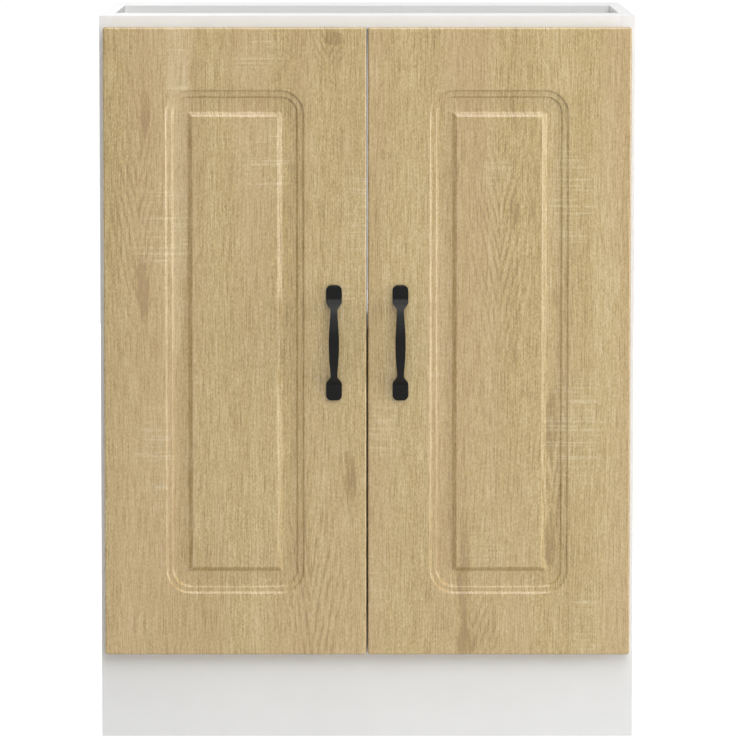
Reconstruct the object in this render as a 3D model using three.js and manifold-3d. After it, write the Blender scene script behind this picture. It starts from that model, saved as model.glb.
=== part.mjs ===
// Sink base cabinet with an open top, a loose shelf, a flush plinth and two hinged doors.
// Millimetres, +Z up, +X right, the doors face -Y. The origin is the middle of the footprint on the floor.
import * as THREE from "three";
import { mergeVertices } from "three/addons/utils/BufferGeometryUtils.js";
import Module from "manifold-3d";

const wasm = await Module();
wasm.setup();

// ---- driving dimensions ----
// Carcass
const WIDTH = 600;
const HEIGHT = 815;
const CARCASS_DEPTH = 440;
const BOARD = 15;
const PLINTH_HEIGHT = 100;
const PLINTH_BOARD = 15;
const FRONT_RAIL_DEPTH = 80;
const REAR_RAIL_DEPTH = 100;

// Back panel in its grooves, and the loose shelf on its pins
const BACK_PANEL_THICKNESS = 3;
const BACK_PANEL_INSET = 12;
const GROOVE_DEPTH = 7;
const BACK_PANEL_PLAY = 0.5;
const SHELF_TOP = 472;
const SHELF_SETBACK = 88;
const SHELF_CLEARANCE = 1;
const SHELF_PIN_INSET = 40;
const SHELF_PIN_RADIUS = 2.5;
const SHELF_PIN_IN_BOARD = 8;
const SHELF_PIN_HEAD = { reach: 9, width: 8, height: 6 };

// Doors, measured from the carcass edges
const DOOR_THICKNESS = 18;
const DOOR_BACK_GAP = 2;
const DOOR_SIDE_REVEAL = 4.5;
const DOOR_MIDDLE_GAP = 1.5;
const DOOR_TOP_REVEAL = 12.5;
const DOOR_BOTTOM = 96;
const DOOR_CORNER_RADIUS = 3;
const DOOR_FRONT_EDGE_RADIUS = 2.5;

// Routed profile of a door, as insets from the door's edge and depths below its front face
const PROFILE_OUTER_INSET = 70;
const PROFILE_OUTER_RADIUS = 27;
const PROFILE_STEP_WIDTH = 1.2;
const PROFILE_STEP_DEPTH = 1.5;
const LEDGE_INSET = 76.5;
const LEDGE_DEPTH = 1.9;
const PROFILE_INNER_INSET = 79.3;
const PROFILE_INNER_RADIUS = 17.7;
const PROFILE_DEPTH = 5;
const PANEL_FOOT_INSET = 95;
const PANEL_TOP_INSET = 100;
const PANEL_CORNER_RADIUS = 1.5;

// Handles, with distances from a handle's end
const HANDLE_SCREW_SPACING = 96;
const HANDLE_SCREW_DISTANCE = 17;
const HANDLE_PROJECTION = 28;
const HANDLE_PAD_WIDTH = 17.8;
const HANDLE_PAD_LENGTH = 18.3;
const HANDLE_PAD_THICKNESS = 4.2;
const HANDLE_PAD_CORNER = 5;
const HANDLE_FOLD_DISTANCE = 16.6;
const HANDLE_NECK_DISTANCE = 27;
const HANDLE_NECK_WIDTH = 7.7;
const HANDLE_BAR_WIDTH = 11.5;
const HANDLE_BAR_THICKNESS = 6;
const HANDLE_LEG_THICKNESS = 6.4;
const HANDLE_EDGE_INSET = 36.5;

// Concealed hinges
const HINGE_END_DISTANCE = 100;
const CUP_EDGE_DISTANCE = 5;
const CUP_BORE_RADIUS = 17.5;
const CUP_DEPTH = 11.5;
const CUP_WALL = 1;
const FLANGE_THICKNESS = 1;
const CUP_SCREW_SPACING = 48;
const CUP_SCREW_OFFSET = 6;
const PLATE_LINE = 37;
const PLATE_SCREW_SPACING = 32;
const PLATE_THICKNESS = 2;
const PLATE_WING_DEPTH = 14;
const PLATE_BODY_FRONT = 17;
const PLATE_BODY_REAR = 52;
const PLATE_BODY_HEIGHT = 9;
const PLATE_BODY_WIDTH = 9.4;
const SCREW_LAND = 3;
const ARM_SHEET = 1.5;
const ARM_REAR = 54;
const ARM_CHEEK_LIFT = 3.5;
const ARM_TIP_RADIUS = 2.6;
const FORK_DEPTH = 4;
const LINK_WIDTH = 9;
const LINK_THICKNESS = 1.8;
const LINK_EYE_RADIUS = 2.4;
const LINK_TIP_RADIUS = 1.4;
const PIVOT_RADIUS = 1.5;

// A hinge link's pivot, bend and tip: inward from the side panel's outer face, and behind the carcass front
const LINK_PIVOT = { inward: BOARD + 8.5, back: -9 };
const LINK_KNEE = { inward: 16, back: -10.5 };
const LINK_TIP = { inward: 14, back: -8.5 };

// Screws, by radius and length; the head stands on what it holds
const CONNECTING_INSET = 60;
const CONNECTING_SCREW = { head: 4.8, shank: 3.2, length: 50, headHeight: 4 };
const CUP_SCREW = { head: 3.4, shank: 1.6, length: 13, headHeight: 1.6 };
const PLATE_SCREW = { head: 3.4, shank: 1.8, length: PLATE_THICKNESS + BOARD - 3.5, headHeight: 1.6 };
const ARM_SCREW = { head: 3.6, shank: 2, length: 8, headHeight: 1.8 };
const HANDLE_SCREW_GRIP = 3;
const HANDLE_SCREW = { head: 4, shank: 2, length: DOOR_THICKNESS + HANDLE_SCREW_GRIP, headHeight: 2.2 };

// Clearance round a piece in its hole, and how far a cutter runs past what it cuts
const FIT_GAP = 0.3;
const OVERCUT = 1;

// Sides of the round pieces
const CUP_SIDES = 24;
const ROUND_SIDES = 14;
const SCREW_SIDES = 8;
const HOLE_SIDES = 10;

// ---- sizes that follow ----
const DOOR_FACE = DOOR_BACK_GAP + DOOR_THICKNESS;
const FRONT_Y = DOOR_FACE + HANDLE_PROJECTION - (CARCASS_DEPTH + DOOR_FACE + HANDLE_PROJECTION) / 2;
const INNER_WIDTH = WIDTH - 2 * BOARD;
const DOOR_WIDTH = (WIDTH - 2 * DOOR_SIDE_REVEAL - DOOR_MIDDLE_GAP) / 2;
const DOOR_HEIGHT = HEIGHT - DOOR_TOP_REVEAL - DOOR_BOTTOM;
const DOOR_MIDDLE_Z = DOOR_BOTTOM + DOOR_HEIGHT / 2;
const CUP_CENTRE = DOOR_SIDE_REVEAL + CUP_EDGE_DISTANCE + CUP_BORE_RADIUS;
const HANDLE_INWARD = WIDTH / 2 - DOOR_MIDDLE_GAP / 2 - HANDLE_EDGE_INSET;
const HANDLE_HALF = HANDLE_SCREW_SPACING / 2 + HANDLE_SCREW_DISTANCE;
const HINGE_HEIGHTS = {
  upper: DOOR_BOTTOM + DOOR_HEIGHT - HINGE_END_DISTANCE,
  lower: DOOR_BOTTOM + HINGE_END_DISTANCE,
};
const ARM_WEB_INNER = BOARD + PLATE_BODY_HEIGHT + FIT_GAP;
const ARM_WEB_OUTER = ARM_WEB_INNER + ARM_SHEET;
const BOTTOM_MIDDLE = PLINTH_HEIGHT + BOARD / 2;
const BOTTOM_TOP = PLINTH_HEIGHT + BOARD;
const RAIL_BOTTOM = HEIGHT - BOARD;
const BACK_PANEL_REAR = CARCASS_DEPTH - BACK_PANEL_INSET;
const BACK_PANEL_FRONT = BACK_PANEL_REAR - BACK_PANEL_THICKNESS;
const SHELF_REAR = BACK_PANEL_FRONT - SHELF_CLEARANCE;
const SHELF_BOTTOM = SHELF_TOP - BOARD;

// ---- finishes ----
const finish = (color, roughness, metalness) =>
  new THREE.MeshStandardMaterial({ color, roughness, metalness });
const WHITE_BOARD = finish(0xf1f1ef, 0.5, 0);
const HARDBOARD = finish(0xe6e4df, 0.6, 0);
const OAK_FOIL = finish(0xbea77e, 0.6, 0);
const BLACK_METAL = finish(0x1e1b19, 0.5, 0.3);
const NICKEL = finish(0xb9bab8, 0.32, 1);
const ZINC = finish(0xa9abad, 0.4, 1);

// ---- solids ----
// A closed manifold solid from any closed three.js geometry.
function toSolid(geometry) {
  const bare = new THREE.BufferGeometry();
  bare.setAttribute("position", geometry.getAttribute("position").clone());
  if (geometry.index) bare.setIndex(geometry.index.clone());
  const merged = mergeVertices(bare, 1e-3);
  const corners = [];
  for (let i = 0; i < merged.index.count; i += 3) {
    const [a, b, c] = [0, 1, 2].map((k) => merged.index.getX(i + k));
    if (a !== b && b !== c && c !== a) corners.push(a, b, c);
  }
  return new wasm.Manifold(
    new wasm.Mesh({
      numProp: 3,
      vertProperties: merged.attributes.position.array,
      triVerts: new Uint32Array(corners),
    }),
  );
}

// A plain flat-shaded three.js geometry from a manifold solid.
function toGeometry(solid) {
  const { vertProperties, triVerts } = solid.getMesh();
  const geometry = new THREE.BufferGeometry();
  geometry.setAttribute("position", new THREE.BufferAttribute(vertProperties, 3));
  geometry.setIndex(new THREE.BufferAttribute(triVerts, 1));
  const flat = geometry.toNonIndexed();
  flat.computeVertexNormals();
  return flat;
}

// A box from its lowest to its highest corner.
function block(low, high) {
  const box = new THREE.BoxGeometry(...high.map((h, i) => h - low[i]));
  box.translate(...high.map((h, i) => (h + low[i]) / 2));
  return toSolid(box);
}

// Turns a geometry whose own axis is +Y so that it runs along a direction from a foot point.
function aim(geometry, foot, direction) {
  const turn = new THREE.Quaternion().setFromUnitVectors(
    new THREE.Vector3(0, 1, 0),
    new THREE.Vector3(...direction).normalize(),
  );
  geometry.applyQuaternion(turn);
  geometry.translate(...foot);
  return geometry;
}

// A round rod from a foot point along a direction.
function rod(radius, length, foot, direction, sides = ROUND_SIDES) {
  const cylinder = new THREE.CylinderGeometry(radius, radius, length, sides);
  cylinder.translate(0, length / 2, 0);
  return toSolid(aim(cylinder, foot, direction));
}

// A turned solid: [radius, height] points from the axis to the axis, about a line from a foot point.
function turned(profile, foot, direction, sides = SCREW_SIDES) {
  const lathe = new THREE.LatheGeometry(
    profile.map(([r, h]) => new THREE.Vector2(r, h)),
    sides,
  );
  return toSolid(aim(lathe, foot, direction));
}

// An outline drawn in (across, up), given a thickness along Z.
function plate(shape, from, to, curveSegments = 6) {
  const extruded = new THREE.ExtrudeGeometry(shape, { depth: to - from, bevelEnabled: false, curveSegments });
  extruded.translate(0, 0, from);
  return toSolid(extruded);
}

const polygon = (points) => new THREE.Shape(points.map(([x, y]) => new THREE.Vector2(x, y)));

// The points of a rectangle with round corners, at one depth y, counter-clockwise seen from the front (-Y).
const CORNER_STEPS = 5;
function roundedRing(width, height, inset, radius, y) {
  const halfWidth = width / 2 - inset;
  const halfHeight = height / 2 - inset;
  const corners = [
    [1, -1, -Math.PI / 2],
    [1, 1, 0],
    [-1, 1, Math.PI / 2],
    [-1, -1, Math.PI],
  ];
  return corners.flatMap(([sx, sz, start]) =>
    Array.from({ length: CORNER_STEPS + 1 }, (_, i) => {
      const angle = start + (i / CORNER_STEPS) * (Math.PI / 2);
      return new THREE.Vector3(
        sx * (halfWidth - radius) + radius * Math.cos(angle),
        y,
        sz * (halfHeight - radius) + radius * Math.sin(angle),
      );
    }),
  );
}

// A solid through rings of equal counts, from the back ring to the front one, closed at both ends.
function ringSolid(rings) {
  const count = rings[0].length;
  const centres = [rings[0], rings.at(-1)].map((ring) =>
    ring.reduce((sum, p) => sum.add(p), new THREE.Vector3()).divideScalar(count),
  );
  const points = [...rings.flat(), ...centres];
  const faces = [];
  const last = (rings.length - 1) * count;
  for (let i = 0; i < count; i++) {
    const next = (i + 1) % count;
    for (let ring = 0; ring + 1 < rings.length; ring++) {
      const [back, front] = [ring * count, (ring + 1) * count];
      faces.push(back + i, back + next, front + next, back + i, front + next, front + i);
    }
    faces.push(points.length - 2, next, i, points.length - 1, last + i, last + next);
  }
  const geometry = new THREE.BufferGeometry().setFromPoints(points);
  geometry.setIndex(faces);
  return toSolid(geometry);
}

// ---- screws ----
// A screw whose head rests on the foot point and whose shank runs along the direction.
function screwSolid({ head, shank, length, headHeight }, foot, direction) {
  const profile = [
    [0, -headHeight],
    [head * 0.75, -headHeight],
    [head, 0],
    [shank, 0],
    [shank, length],
    [0, length],
  ];
  return turned(profile, foot, direction);
}

// A flush connecting screw: a cone head that ends level with the foot point.
function flushScrewSolid({ head, shank, length, headHeight }, foot, direction) {
  const profile = [
    [0, 0],
    [head, 0],
    [shank, headHeight],
    [shank, length],
    [0, length],
  ];
  return turned(profile, foot, direction);
}

// The hole that a screw's shank runs in.
const shankHole = ({ shank, length }, foot, direction) =>
  rod(shank + FIT_GAP, length + OVERCUT, foot, direction, HOLE_SIDES);

// The countersunk hole that a flush screw sits in.
function flushHole({ head, shank, length, headHeight }, foot, direction) {
  const profile = [
    [0, -OVERCUT],
    [head + FIT_GAP, -OVERCUT],
    [head + FIT_GAP, FIT_GAP],
    [shank + FIT_GAP, headHeight + FIT_GAP],
    [shank + FIT_GAP, length + OVERCUT],
    [0, length + OVERCUT],
  ];
  return turned(profile, foot, direction, HOLE_SIDES);
}

// A solid less each of its cutters.
const cutAll = (solid, cutters) => cutters.reduce((rest, cutter) => rest.subtract(cutter), solid);

// ---- carcass ----
// One side is drawn as [inward from the left outer face, back from the carcass front, up from the floor].
const INWARD = [1, 0, 0];
const BACK = [0, 1, 0];
const FRONT = [0, -1, 0];
const OUTWARD = [-1, 0, 0];
const UP = [0, 0, 1];

// Where each connecting screw enters the left side panel.
const CONNECTIONS = {
  front: [CONNECTING_INSET, BOTTOM_MIDDLE],
  rear: [CARCASS_DEPTH - CONNECTING_INSET, BOTTOM_MIDDLE],
};
const connectionFoot = ([back, z]) => [0, back, z];

// How far back the shelf's pins are.
const SHELF_PINS = { front: SHELF_SETBACK + SHELF_PIN_INSET, rear: SHELF_REAR - SHELF_PIN_INSET };
const pinAxisFoot = (back) => [BOARD, back, SHELF_BOTTOM - SHELF_PIN_HEAD.height / 2];

const plateScrewFeet = (z) =>
  [-1, 1].map((s) => [BOARD + PLATE_THICKNESS, PLATE_LINE, z + (s * PLATE_SCREW_SPACING) / 2]);

function sidePanelSolid() {
  const body = block([0, 0, 0], [BOARD, CARCASS_DEPTH, HEIGHT]);
  const plinthNotch = block([-OVERCUT, -OVERCUT, -OVERCUT], [BOARD + OVERCUT, PLINTH_BOARD, PLINTH_HEIGHT]);
  const connections = Object.values(CONNECTIONS).map((place) =>
    flushHole(CONNECTING_SCREW, connectionFoot(place), INWARD),
  );
  const plateHoles = Object.values(HINGE_HEIGHTS)
    .flatMap(plateScrewFeet)
    .map((foot) => shankHole(PLATE_SCREW, foot, OUTWARD));
  const pinHoles = Object.values(SHELF_PINS).map((back) => {
    const [x, y, z] = pinAxisFoot(back);
    const depth = SHELF_PIN_IN_BOARD + FIT_GAP + OVERCUT;
    return rod(SHELF_PIN_RADIUS + FIT_GAP, depth, [x + OVERCUT, y, z], OUTWARD, HOLE_SIDES);
  });
  const groove = backGroove([BOARD - GROOVE_DEPTH, BOARD + OVERCUT], [-OVERCUT, HEIGHT + OVERCUT]);
  return cutAll(body, [plinthNotch, groove, ...connections, ...plateHoles, ...pinHoles]);
}

// A cutter for the back panel's groove, from its extents across and up.
function backGroove([left, right], [bottom, top]) {
  return block([left, BACK_PANEL_FRONT, bottom], [right, BACK_PANEL_REAR + FIT_GAP, top]);
}

// A pin of the shelf: a shank in the side panel and a square head under the shelf.
function shelfPinSolid(back) {
  const { reach, width, height } = SHELF_PIN_HEAD;
  const head = block([BOARD, back - width / 2, SHELF_BOTTOM - height], [BOARD + reach, back + width / 2, SHELF_BOTTOM]);
  const [x, y, z] = pinAxisFoot(back);
  return head.add(rod(SHELF_PIN_RADIUS, SHELF_PIN_IN_BOARD + reach / 2, [x + reach / 2, y, z], OUTWARD));
}

// A plain board in the cabinet's frame, with its middle on the middle of the width.
function boardSolid(halfWidth, front, rear, bottom, top) {
  return block([-halfWidth, FRONT_Y + front, bottom], [halfWidth, FRONT_Y + rear, top]);
}

// The back panel's groove through a board that lies between the side panels, from its bottom to its top.
const crossGroove = (bottom, top) =>
  backGroove([-INNER_WIDTH / 2 - OVERCUT, INNER_WIDTH / 2 + OVERCUT], [bottom, top]).translate([0, FRONT_Y, 0]);

function bottomPanelSolid() {
  const board = boardSolid(INNER_WIDTH / 2, 0, CARCASS_DEPTH, PLINTH_HEIGHT, BOTTOM_TOP);
  const bores = Object.values(CONNECTIONS).flatMap(([back, z]) =>
    [-1, 1].map((side) =>
      shankHole(CONNECTING_SCREW, [(side * WIDTH) / 2, FRONT_Y + back, z], [-side, 0, 0]),
    ),
  );
  return cutAll(board, [...bores, crossGroove(BOTTOM_TOP - GROOVE_DEPTH, BOTTOM_TOP + OVERCUT)]);
}

function rearRailSolid() {
  const board = boardSolid(INNER_WIDTH / 2, CARCASS_DEPTH - REAR_RAIL_DEPTH, CARCASS_DEPTH, RAIL_BOTTOM, HEIGHT);
  return board.subtract(crossGroove(RAIL_BOTTOM - OVERCUT, RAIL_BOTTOM + GROOVE_DEPTH));
}

function backPanelSolid() {
  const intoGroove = GROOVE_DEPTH - BACK_PANEL_PLAY;
  const halfWidth = INNER_WIDTH / 2 + intoGroove;
  return boardSolid(halfWidth, BACK_PANEL_FRONT, BACK_PANEL_REAR, BOTTOM_TOP - intoGroove, RAIL_BOTTOM + intoGroove);
}

// ---- door, drawn for the left side ----
const hingeZs = Object.values(HINGE_HEIGHTS);
const cupScrewFeet = (z, faceBack) =>
  [-1, 1].map((s) => [CUP_CENTRE + CUP_SCREW_OFFSET, faceBack, z + (s * CUP_SCREW_SPACING) / 2]);
const handleScrewFeet = () =>
  [-1, 1].map((s) => [HANDLE_INWARD, -DOOR_BACK_GAP, DOOR_MIDDLE_Z + (s * HANDLE_SCREW_SPACING) / 2]);

function doorSolid() {
  const ring = (inset, radius, depth) =>
    roundedRing(DOOR_WIDTH, DOOR_HEIGHT, inset, radius, -DOOR_FACE + depth);
  const edgeSteps = 3;
  const roundedEdge = Array.from({ length: edgeSteps + 1 }, (_, i) => {
    const angle = (i / edgeSteps) * (Math.PI / 2);
    const inset = DOOR_FRONT_EDGE_RADIUS * (1 - Math.cos(angle));
    const depth = DOOR_FRONT_EDGE_RADIUS * (1 - Math.sin(angle));
    return ring(inset, Math.max(DOOR_CORNER_RADIUS - inset, 0.4), depth);
  });
  const rings = [
    ring(0, DOOR_CORNER_RADIUS, DOOR_THICKNESS),
    ...roundedEdge,
    ring(PROFILE_OUTER_INSET, PROFILE_OUTER_RADIUS, 0),
    ring(PROFILE_OUTER_INSET + PROFILE_STEP_WIDTH, PROFILE_OUTER_RADIUS - PROFILE_STEP_WIDTH, PROFILE_STEP_DEPTH),
    ring(LEDGE_INSET, PROFILE_INNER_RADIUS + PROFILE_INNER_INSET - LEDGE_INSET, LEDGE_DEPTH),
    ring(PROFILE_INNER_INSET, PROFILE_INNER_RADIUS, PROFILE_DEPTH),
    ring(PANEL_FOOT_INSET, PANEL_CORNER_RADIUS, PROFILE_DEPTH),
    ring(PANEL_TOP_INSET, PANEL_CORNER_RADIUS, 0),
  ];
  const slab = ringSolid(rings).translate([DOOR_SIDE_REVEAL + DOOR_WIDTH / 2, 0, DOOR_MIDDLE_Z]);
  const boreDepth = CUP_DEPTH + FIT_GAP + OVERCUT;
  const cupBores = hingeZs.map((z) =>
    rod(CUP_BORE_RADIUS, boreDepth, [CUP_CENTRE, OVERCUT - DOOR_BACK_GAP, z], FRONT, CUP_SIDES),
  );
  const cupScrewHoles = hingeZs
    .flatMap((z) => cupScrewFeet(z, -DOOR_BACK_GAP))
    .map((foot) => shankHole(CUP_SCREW, foot, FRONT));
  const handleHoles = handleScrewFeet().map((foot) => shankHole(HANDLE_SCREW, foot, FRONT));
  return cutAll(slab, [...cupBores, ...cupScrewHoles, ...handleHoles]);
}

// ---- handle ----
// Both views are drawn along the handle's length, for the half from its middle to its upper end.
const CURVE_STEPS = 6;

// Closes a half outline, from the middle to the end and back, with its mirror image.
function mirroredShape(halfPoints) {
  const mirrored = halfPoints.map((p) => new THREE.Vector2(-p.x, p.y)).reverse();
  const middleRepeats = (p, i, all) => i === 0 || !p.equals(all[i - 1]);
  const outline = [...halfPoints, ...mirrored].filter(middleRepeats);
  if (outline[0].equals(outline.at(-1))) outline.pop();
  return new THREE.Shape(outline);
}

// Seen from the side, as length and projection: a flat pad, a fold, and a leg that sweeps up into the bow.
function handleSideShape() {
  const fold = HANDLE_HALF - HANDLE_FOLD_DISTANCE;
  const legFoot = fold - HANDLE_LEG_THICKNESS;
  const under = HANDLE_PROJECTION - HANDLE_BAR_THICKNESS;
  const pad = HANDLE_PAD_THICKNESS;
  const path = new THREE.Path();
  path.moveTo(0, HANDLE_PROJECTION);
  path.bezierCurveTo(fold * 0.62, HANDLE_PROJECTION, fold * 0.87, HANDLE_PROJECTION * 0.43, fold, pad);
  path.lineTo(HANDLE_HALF - pad / 2, pad);
  path.quadraticCurveTo(HANDLE_HALF, pad, HANDLE_HALF, pad / 2);
  path.lineTo(HANDLE_HALF, 0);
  path.lineTo(legFoot, 0);
  path.bezierCurveTo(legFoot * 0.9, under * 0.27, legFoot * 0.64, under, 0, under);
  return mirroredShape(path.getPoints(CURVE_STEPS));
}

// Seen from the front, as length and half the width: a bar that swells to the middle, a neck and a wide pad.
function handleFrontShape() {
  const padWidth = HANDLE_PAD_WIDTH / 2;
  const neckWidth = HANDLE_NECK_WIDTH / 2;
  const barWidth = HANDLE_BAR_WIDTH / 2;
  const shoulder = HANDLE_HALF - HANDLE_PAD_LENGTH;
  const neck = HANDLE_HALF - HANDLE_NECK_DISTANCE;
  const corner = HANDLE_HALF - HANDLE_PAD_CORNER;
  const path = new THREE.Path();
  path.moveTo(0, barWidth);
  path.bezierCurveTo(neck * 0.5, barWidth, neck * 0.8, neckWidth, neck, neckWidth);
  path.bezierCurveTo(neck + 3, neckWidth, shoulder - 3, padWidth, shoulder, padWidth);
  path.lineTo(corner, padWidth);
  path.quadraticCurveTo(HANDLE_HALF, padWidth, HANDLE_HALF, padWidth - HANDLE_PAD_CORNER);
  const upper = path.getPoints(CURVE_STEPS);
  const lower = upper.map((p) => new THREE.Vector2(p.x, -p.y)).reverse();
  return mirroredShape([...upper, ...lower]);
}

function handleSolid() {
  const halfWidth = HANDLE_PAD_WIDTH / 2 + OVERCUT;
  const sideView = plate(handleSideShape(), -halfWidth, halfWidth);
  const frontView = plate(handleFrontShape(), -HANDLE_PROJECTION - OVERCUT, OVERCUT).rotate([90, 0, 0]);
  const lying = sideView.intersect(frontView);
  // Stands the handle up: its length along Z and its projection along -Y.
  const upright = new THREE.Matrix4().makeBasis(
    new THREE.Vector3(0, 0, 1),
    new THREE.Vector3(0, -1, 0),
    new THREE.Vector3(1, 0, 0),
  );
  const placed = lying.transform(upright.elements).translate([HANDLE_INWARD, -DOOR_FACE, DOOR_MIDDLE_Z]);
  const bores = handleScrewFeet().map((foot) =>
    rod(HANDLE_SCREW.shank + FIT_GAP, HANDLE_SCREW.length + FIT_GAP, foot, FRONT, HOLE_SIDES),
  );
  return cutAll(placed, bores);
}

// ---- hinges, drawn about their own height ----
// The moving cup with its flange, screwed to the door.
function hingeCupSolid() {
  const face = -DOOR_BACK_GAP;
  const outer = CUP_BORE_RADIUS - FIT_GAP;
  const inner = outer - CUP_WALL;
  const bowl = turned(
    [
      [0, 0],
      [outer, 0],
      [outer, CUP_DEPTH + FLANGE_THICKNESS],
      [inner, CUP_DEPTH + FLANGE_THICKNESS],
      [inner, CUP_WALL],
      [0, CUP_WALL],
    ],
    [CUP_CENTRE, face - CUP_DEPTH, 0],
    BACK,
    CUP_SIDES,
  );
  const disc = (radius, x, z, sides) => rod(radius, FLANGE_THICKNESS, [x, face, z], BACK, sides);
  const ear = CUP_SCREW.head + SCREW_LAND;
  const tall = CUP_SCREW_SPACING / 2;
  const earX = CUP_CENTRE + CUP_SCREW_OFFSET;
  const ears = [-tall, tall].map((z) => disc(ear, earX, z, ROUND_SIDES));
  const web = block([earX - ear, face, -tall], [earX + ear, face + FLANGE_THICKNESS, tall]);
  const rim = disc(outer + CUP_WALL, CUP_CENTRE, 0, CUP_SIDES);
  const mouth = rod(inner, FLANGE_THICKNESS + 2 * OVERCUT, [CUP_CENTRE, face - OVERCUT, 0], BACK, CUP_SIDES);
  const flange = ears.reduce((sum, piece) => sum.add(piece), rim.add(web)).subtract(mouth);
  const holes = cupScrewFeet(0, face + FLANGE_THICKNESS).map((foot) => shankHole(CUP_SCREW, foot, FRONT));
  return bowl.add(cutAll(flange, holes));
}

// Foot of the clamp screw on the arm's web.
const CLAMP_FOOT = [ARM_WEB_OUTER, PLATE_LINE, 0];

// The mounting plate: a wing across the side panel with a raised body that carries the arm.
function hingePlateSolid() {
  const wing = PLATE_SCREW_SPACING / 2 + PLATE_SCREW.head + SCREW_LAND;
  const halfWing = PLATE_WING_DEPTH / 2;
  const halfBody = PLATE_BODY_WIDTH / 2;
  const base = block(
    [BOARD, PLATE_LINE - halfWing, -wing],
    [BOARD + PLATE_THICKNESS, PLATE_LINE + halfWing, wing],
  );
  const body = block(
    [BOARD, PLATE_BODY_FRONT, -halfBody],
    [BOARD + PLATE_BODY_HEIGHT, PLATE_BODY_REAR, halfBody],
  );
  const screwHoles = plateScrewFeet(0).map((foot) => shankHole(PLATE_SCREW, foot, OUTWARD));
  return cutAll(base.add(body), [...screwHoles, shankHole(ARM_SCREW, CLAMP_FOOT, OUTWARD)]);
}

// The fixed arm: a channel over the plate's body, whose two cheeks reach out to the link's pivot as a fork.
function hingeArmSolid() {
  const { inward, back } = LINK_PIVOT;
  const cheekFoot = BOARD + ARM_CHEEK_LIFT;
  const halfInner = PLATE_BODY_WIDTH / 2 + FIT_GAP;
  const halfOuter = halfInner + ARM_SHEET;
  const forkRoot = back + ARM_TIP_RADIUS + FORK_DEPTH;
  const side = polygon([
    [cheekFoot, PLATE_BODY_FRONT],
    [inward - ARM_TIP_RADIUS, back],
    [inward + ARM_TIP_RADIUS, back],
    [ARM_WEB_OUTER, forkRoot],
    [ARM_WEB_OUTER, ARM_REAR],
    [cheekFoot, ARM_REAR],
  ]);
  const across = (radius, halfLength) => rod(radius, 2 * halfLength, [inward, back, -halfLength], UP);
  const body = plate(side, -halfOuter, halfOuter).add(across(ARM_TIP_RADIUS, halfOuter));
  const channel = block(
    [BOARD, forkRoot - OVERCUT, -halfInner],
    [ARM_WEB_INNER, ARM_REAR + OVERCUT, halfInner],
  );
  const forkSlot = block(
    [BOARD, back - ARM_TIP_RADIUS - OVERCUT, -halfInner],
    [inward + 2 * ARM_TIP_RADIUS, forkRoot, halfInner],
  );
  const pin = across(PIVOT_RADIUS, halfOuter - ARM_SHEET / 2);
  return cutAll(body, [channel, forkSlot, shankHole(ARM_SCREW, CLAMP_FOOT, OUTWARD)]).add(pin);
}

// The moving link: an eye on the arm's pivot, and a bent leg that reaches into the cup.
function hingeLinkSolid() {
  const half = LINK_WIDTH / 2;
  const points = [LINK_PIVOT, LINK_KNEE, LINK_TIP];
  const [pivot, knee, tip] = points.map(({ inward, back }) => new THREE.Vector2(inward, back));
  const round = (point, radius, halfLength = half) =>
    rod(radius, 2 * halfLength, [point.x, point.y, -halfLength], UP);
  const leg = (a, b) => {
    const across = new THREE.Vector2(a.y - b.y, b.x - a.x).setLength(LINK_THICKNESS / 2);
    const [start, end] = [a, b].map((p) => [p.clone().add(across), p.clone().sub(across)]);
    return plate(new THREE.Shape([...start, ...end.reverse()]), -half, half);
  };
  const solid = leg(pivot, knee)
    .add(leg(knee, tip))
    .add(round(knee, LINK_THICKNESS / 2))
    .add(round(tip, LINK_TIP_RADIUS))
    .add(round(pivot, LINK_EYE_RADIUS));
  return solid.subtract(round(pivot, PIVOT_RADIUS + FIT_GAP, half + OVERCUT));
}

// ---- assembly ----
const cabinet = new THREE.Group();

function add(parent, name, solid, material, z = 0) {
  const mesh = new THREE.Mesh(toGeometry(solid), material);
  mesh.name = name;
  mesh.position.z = z;
  parent.add(mesh);
}

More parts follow.
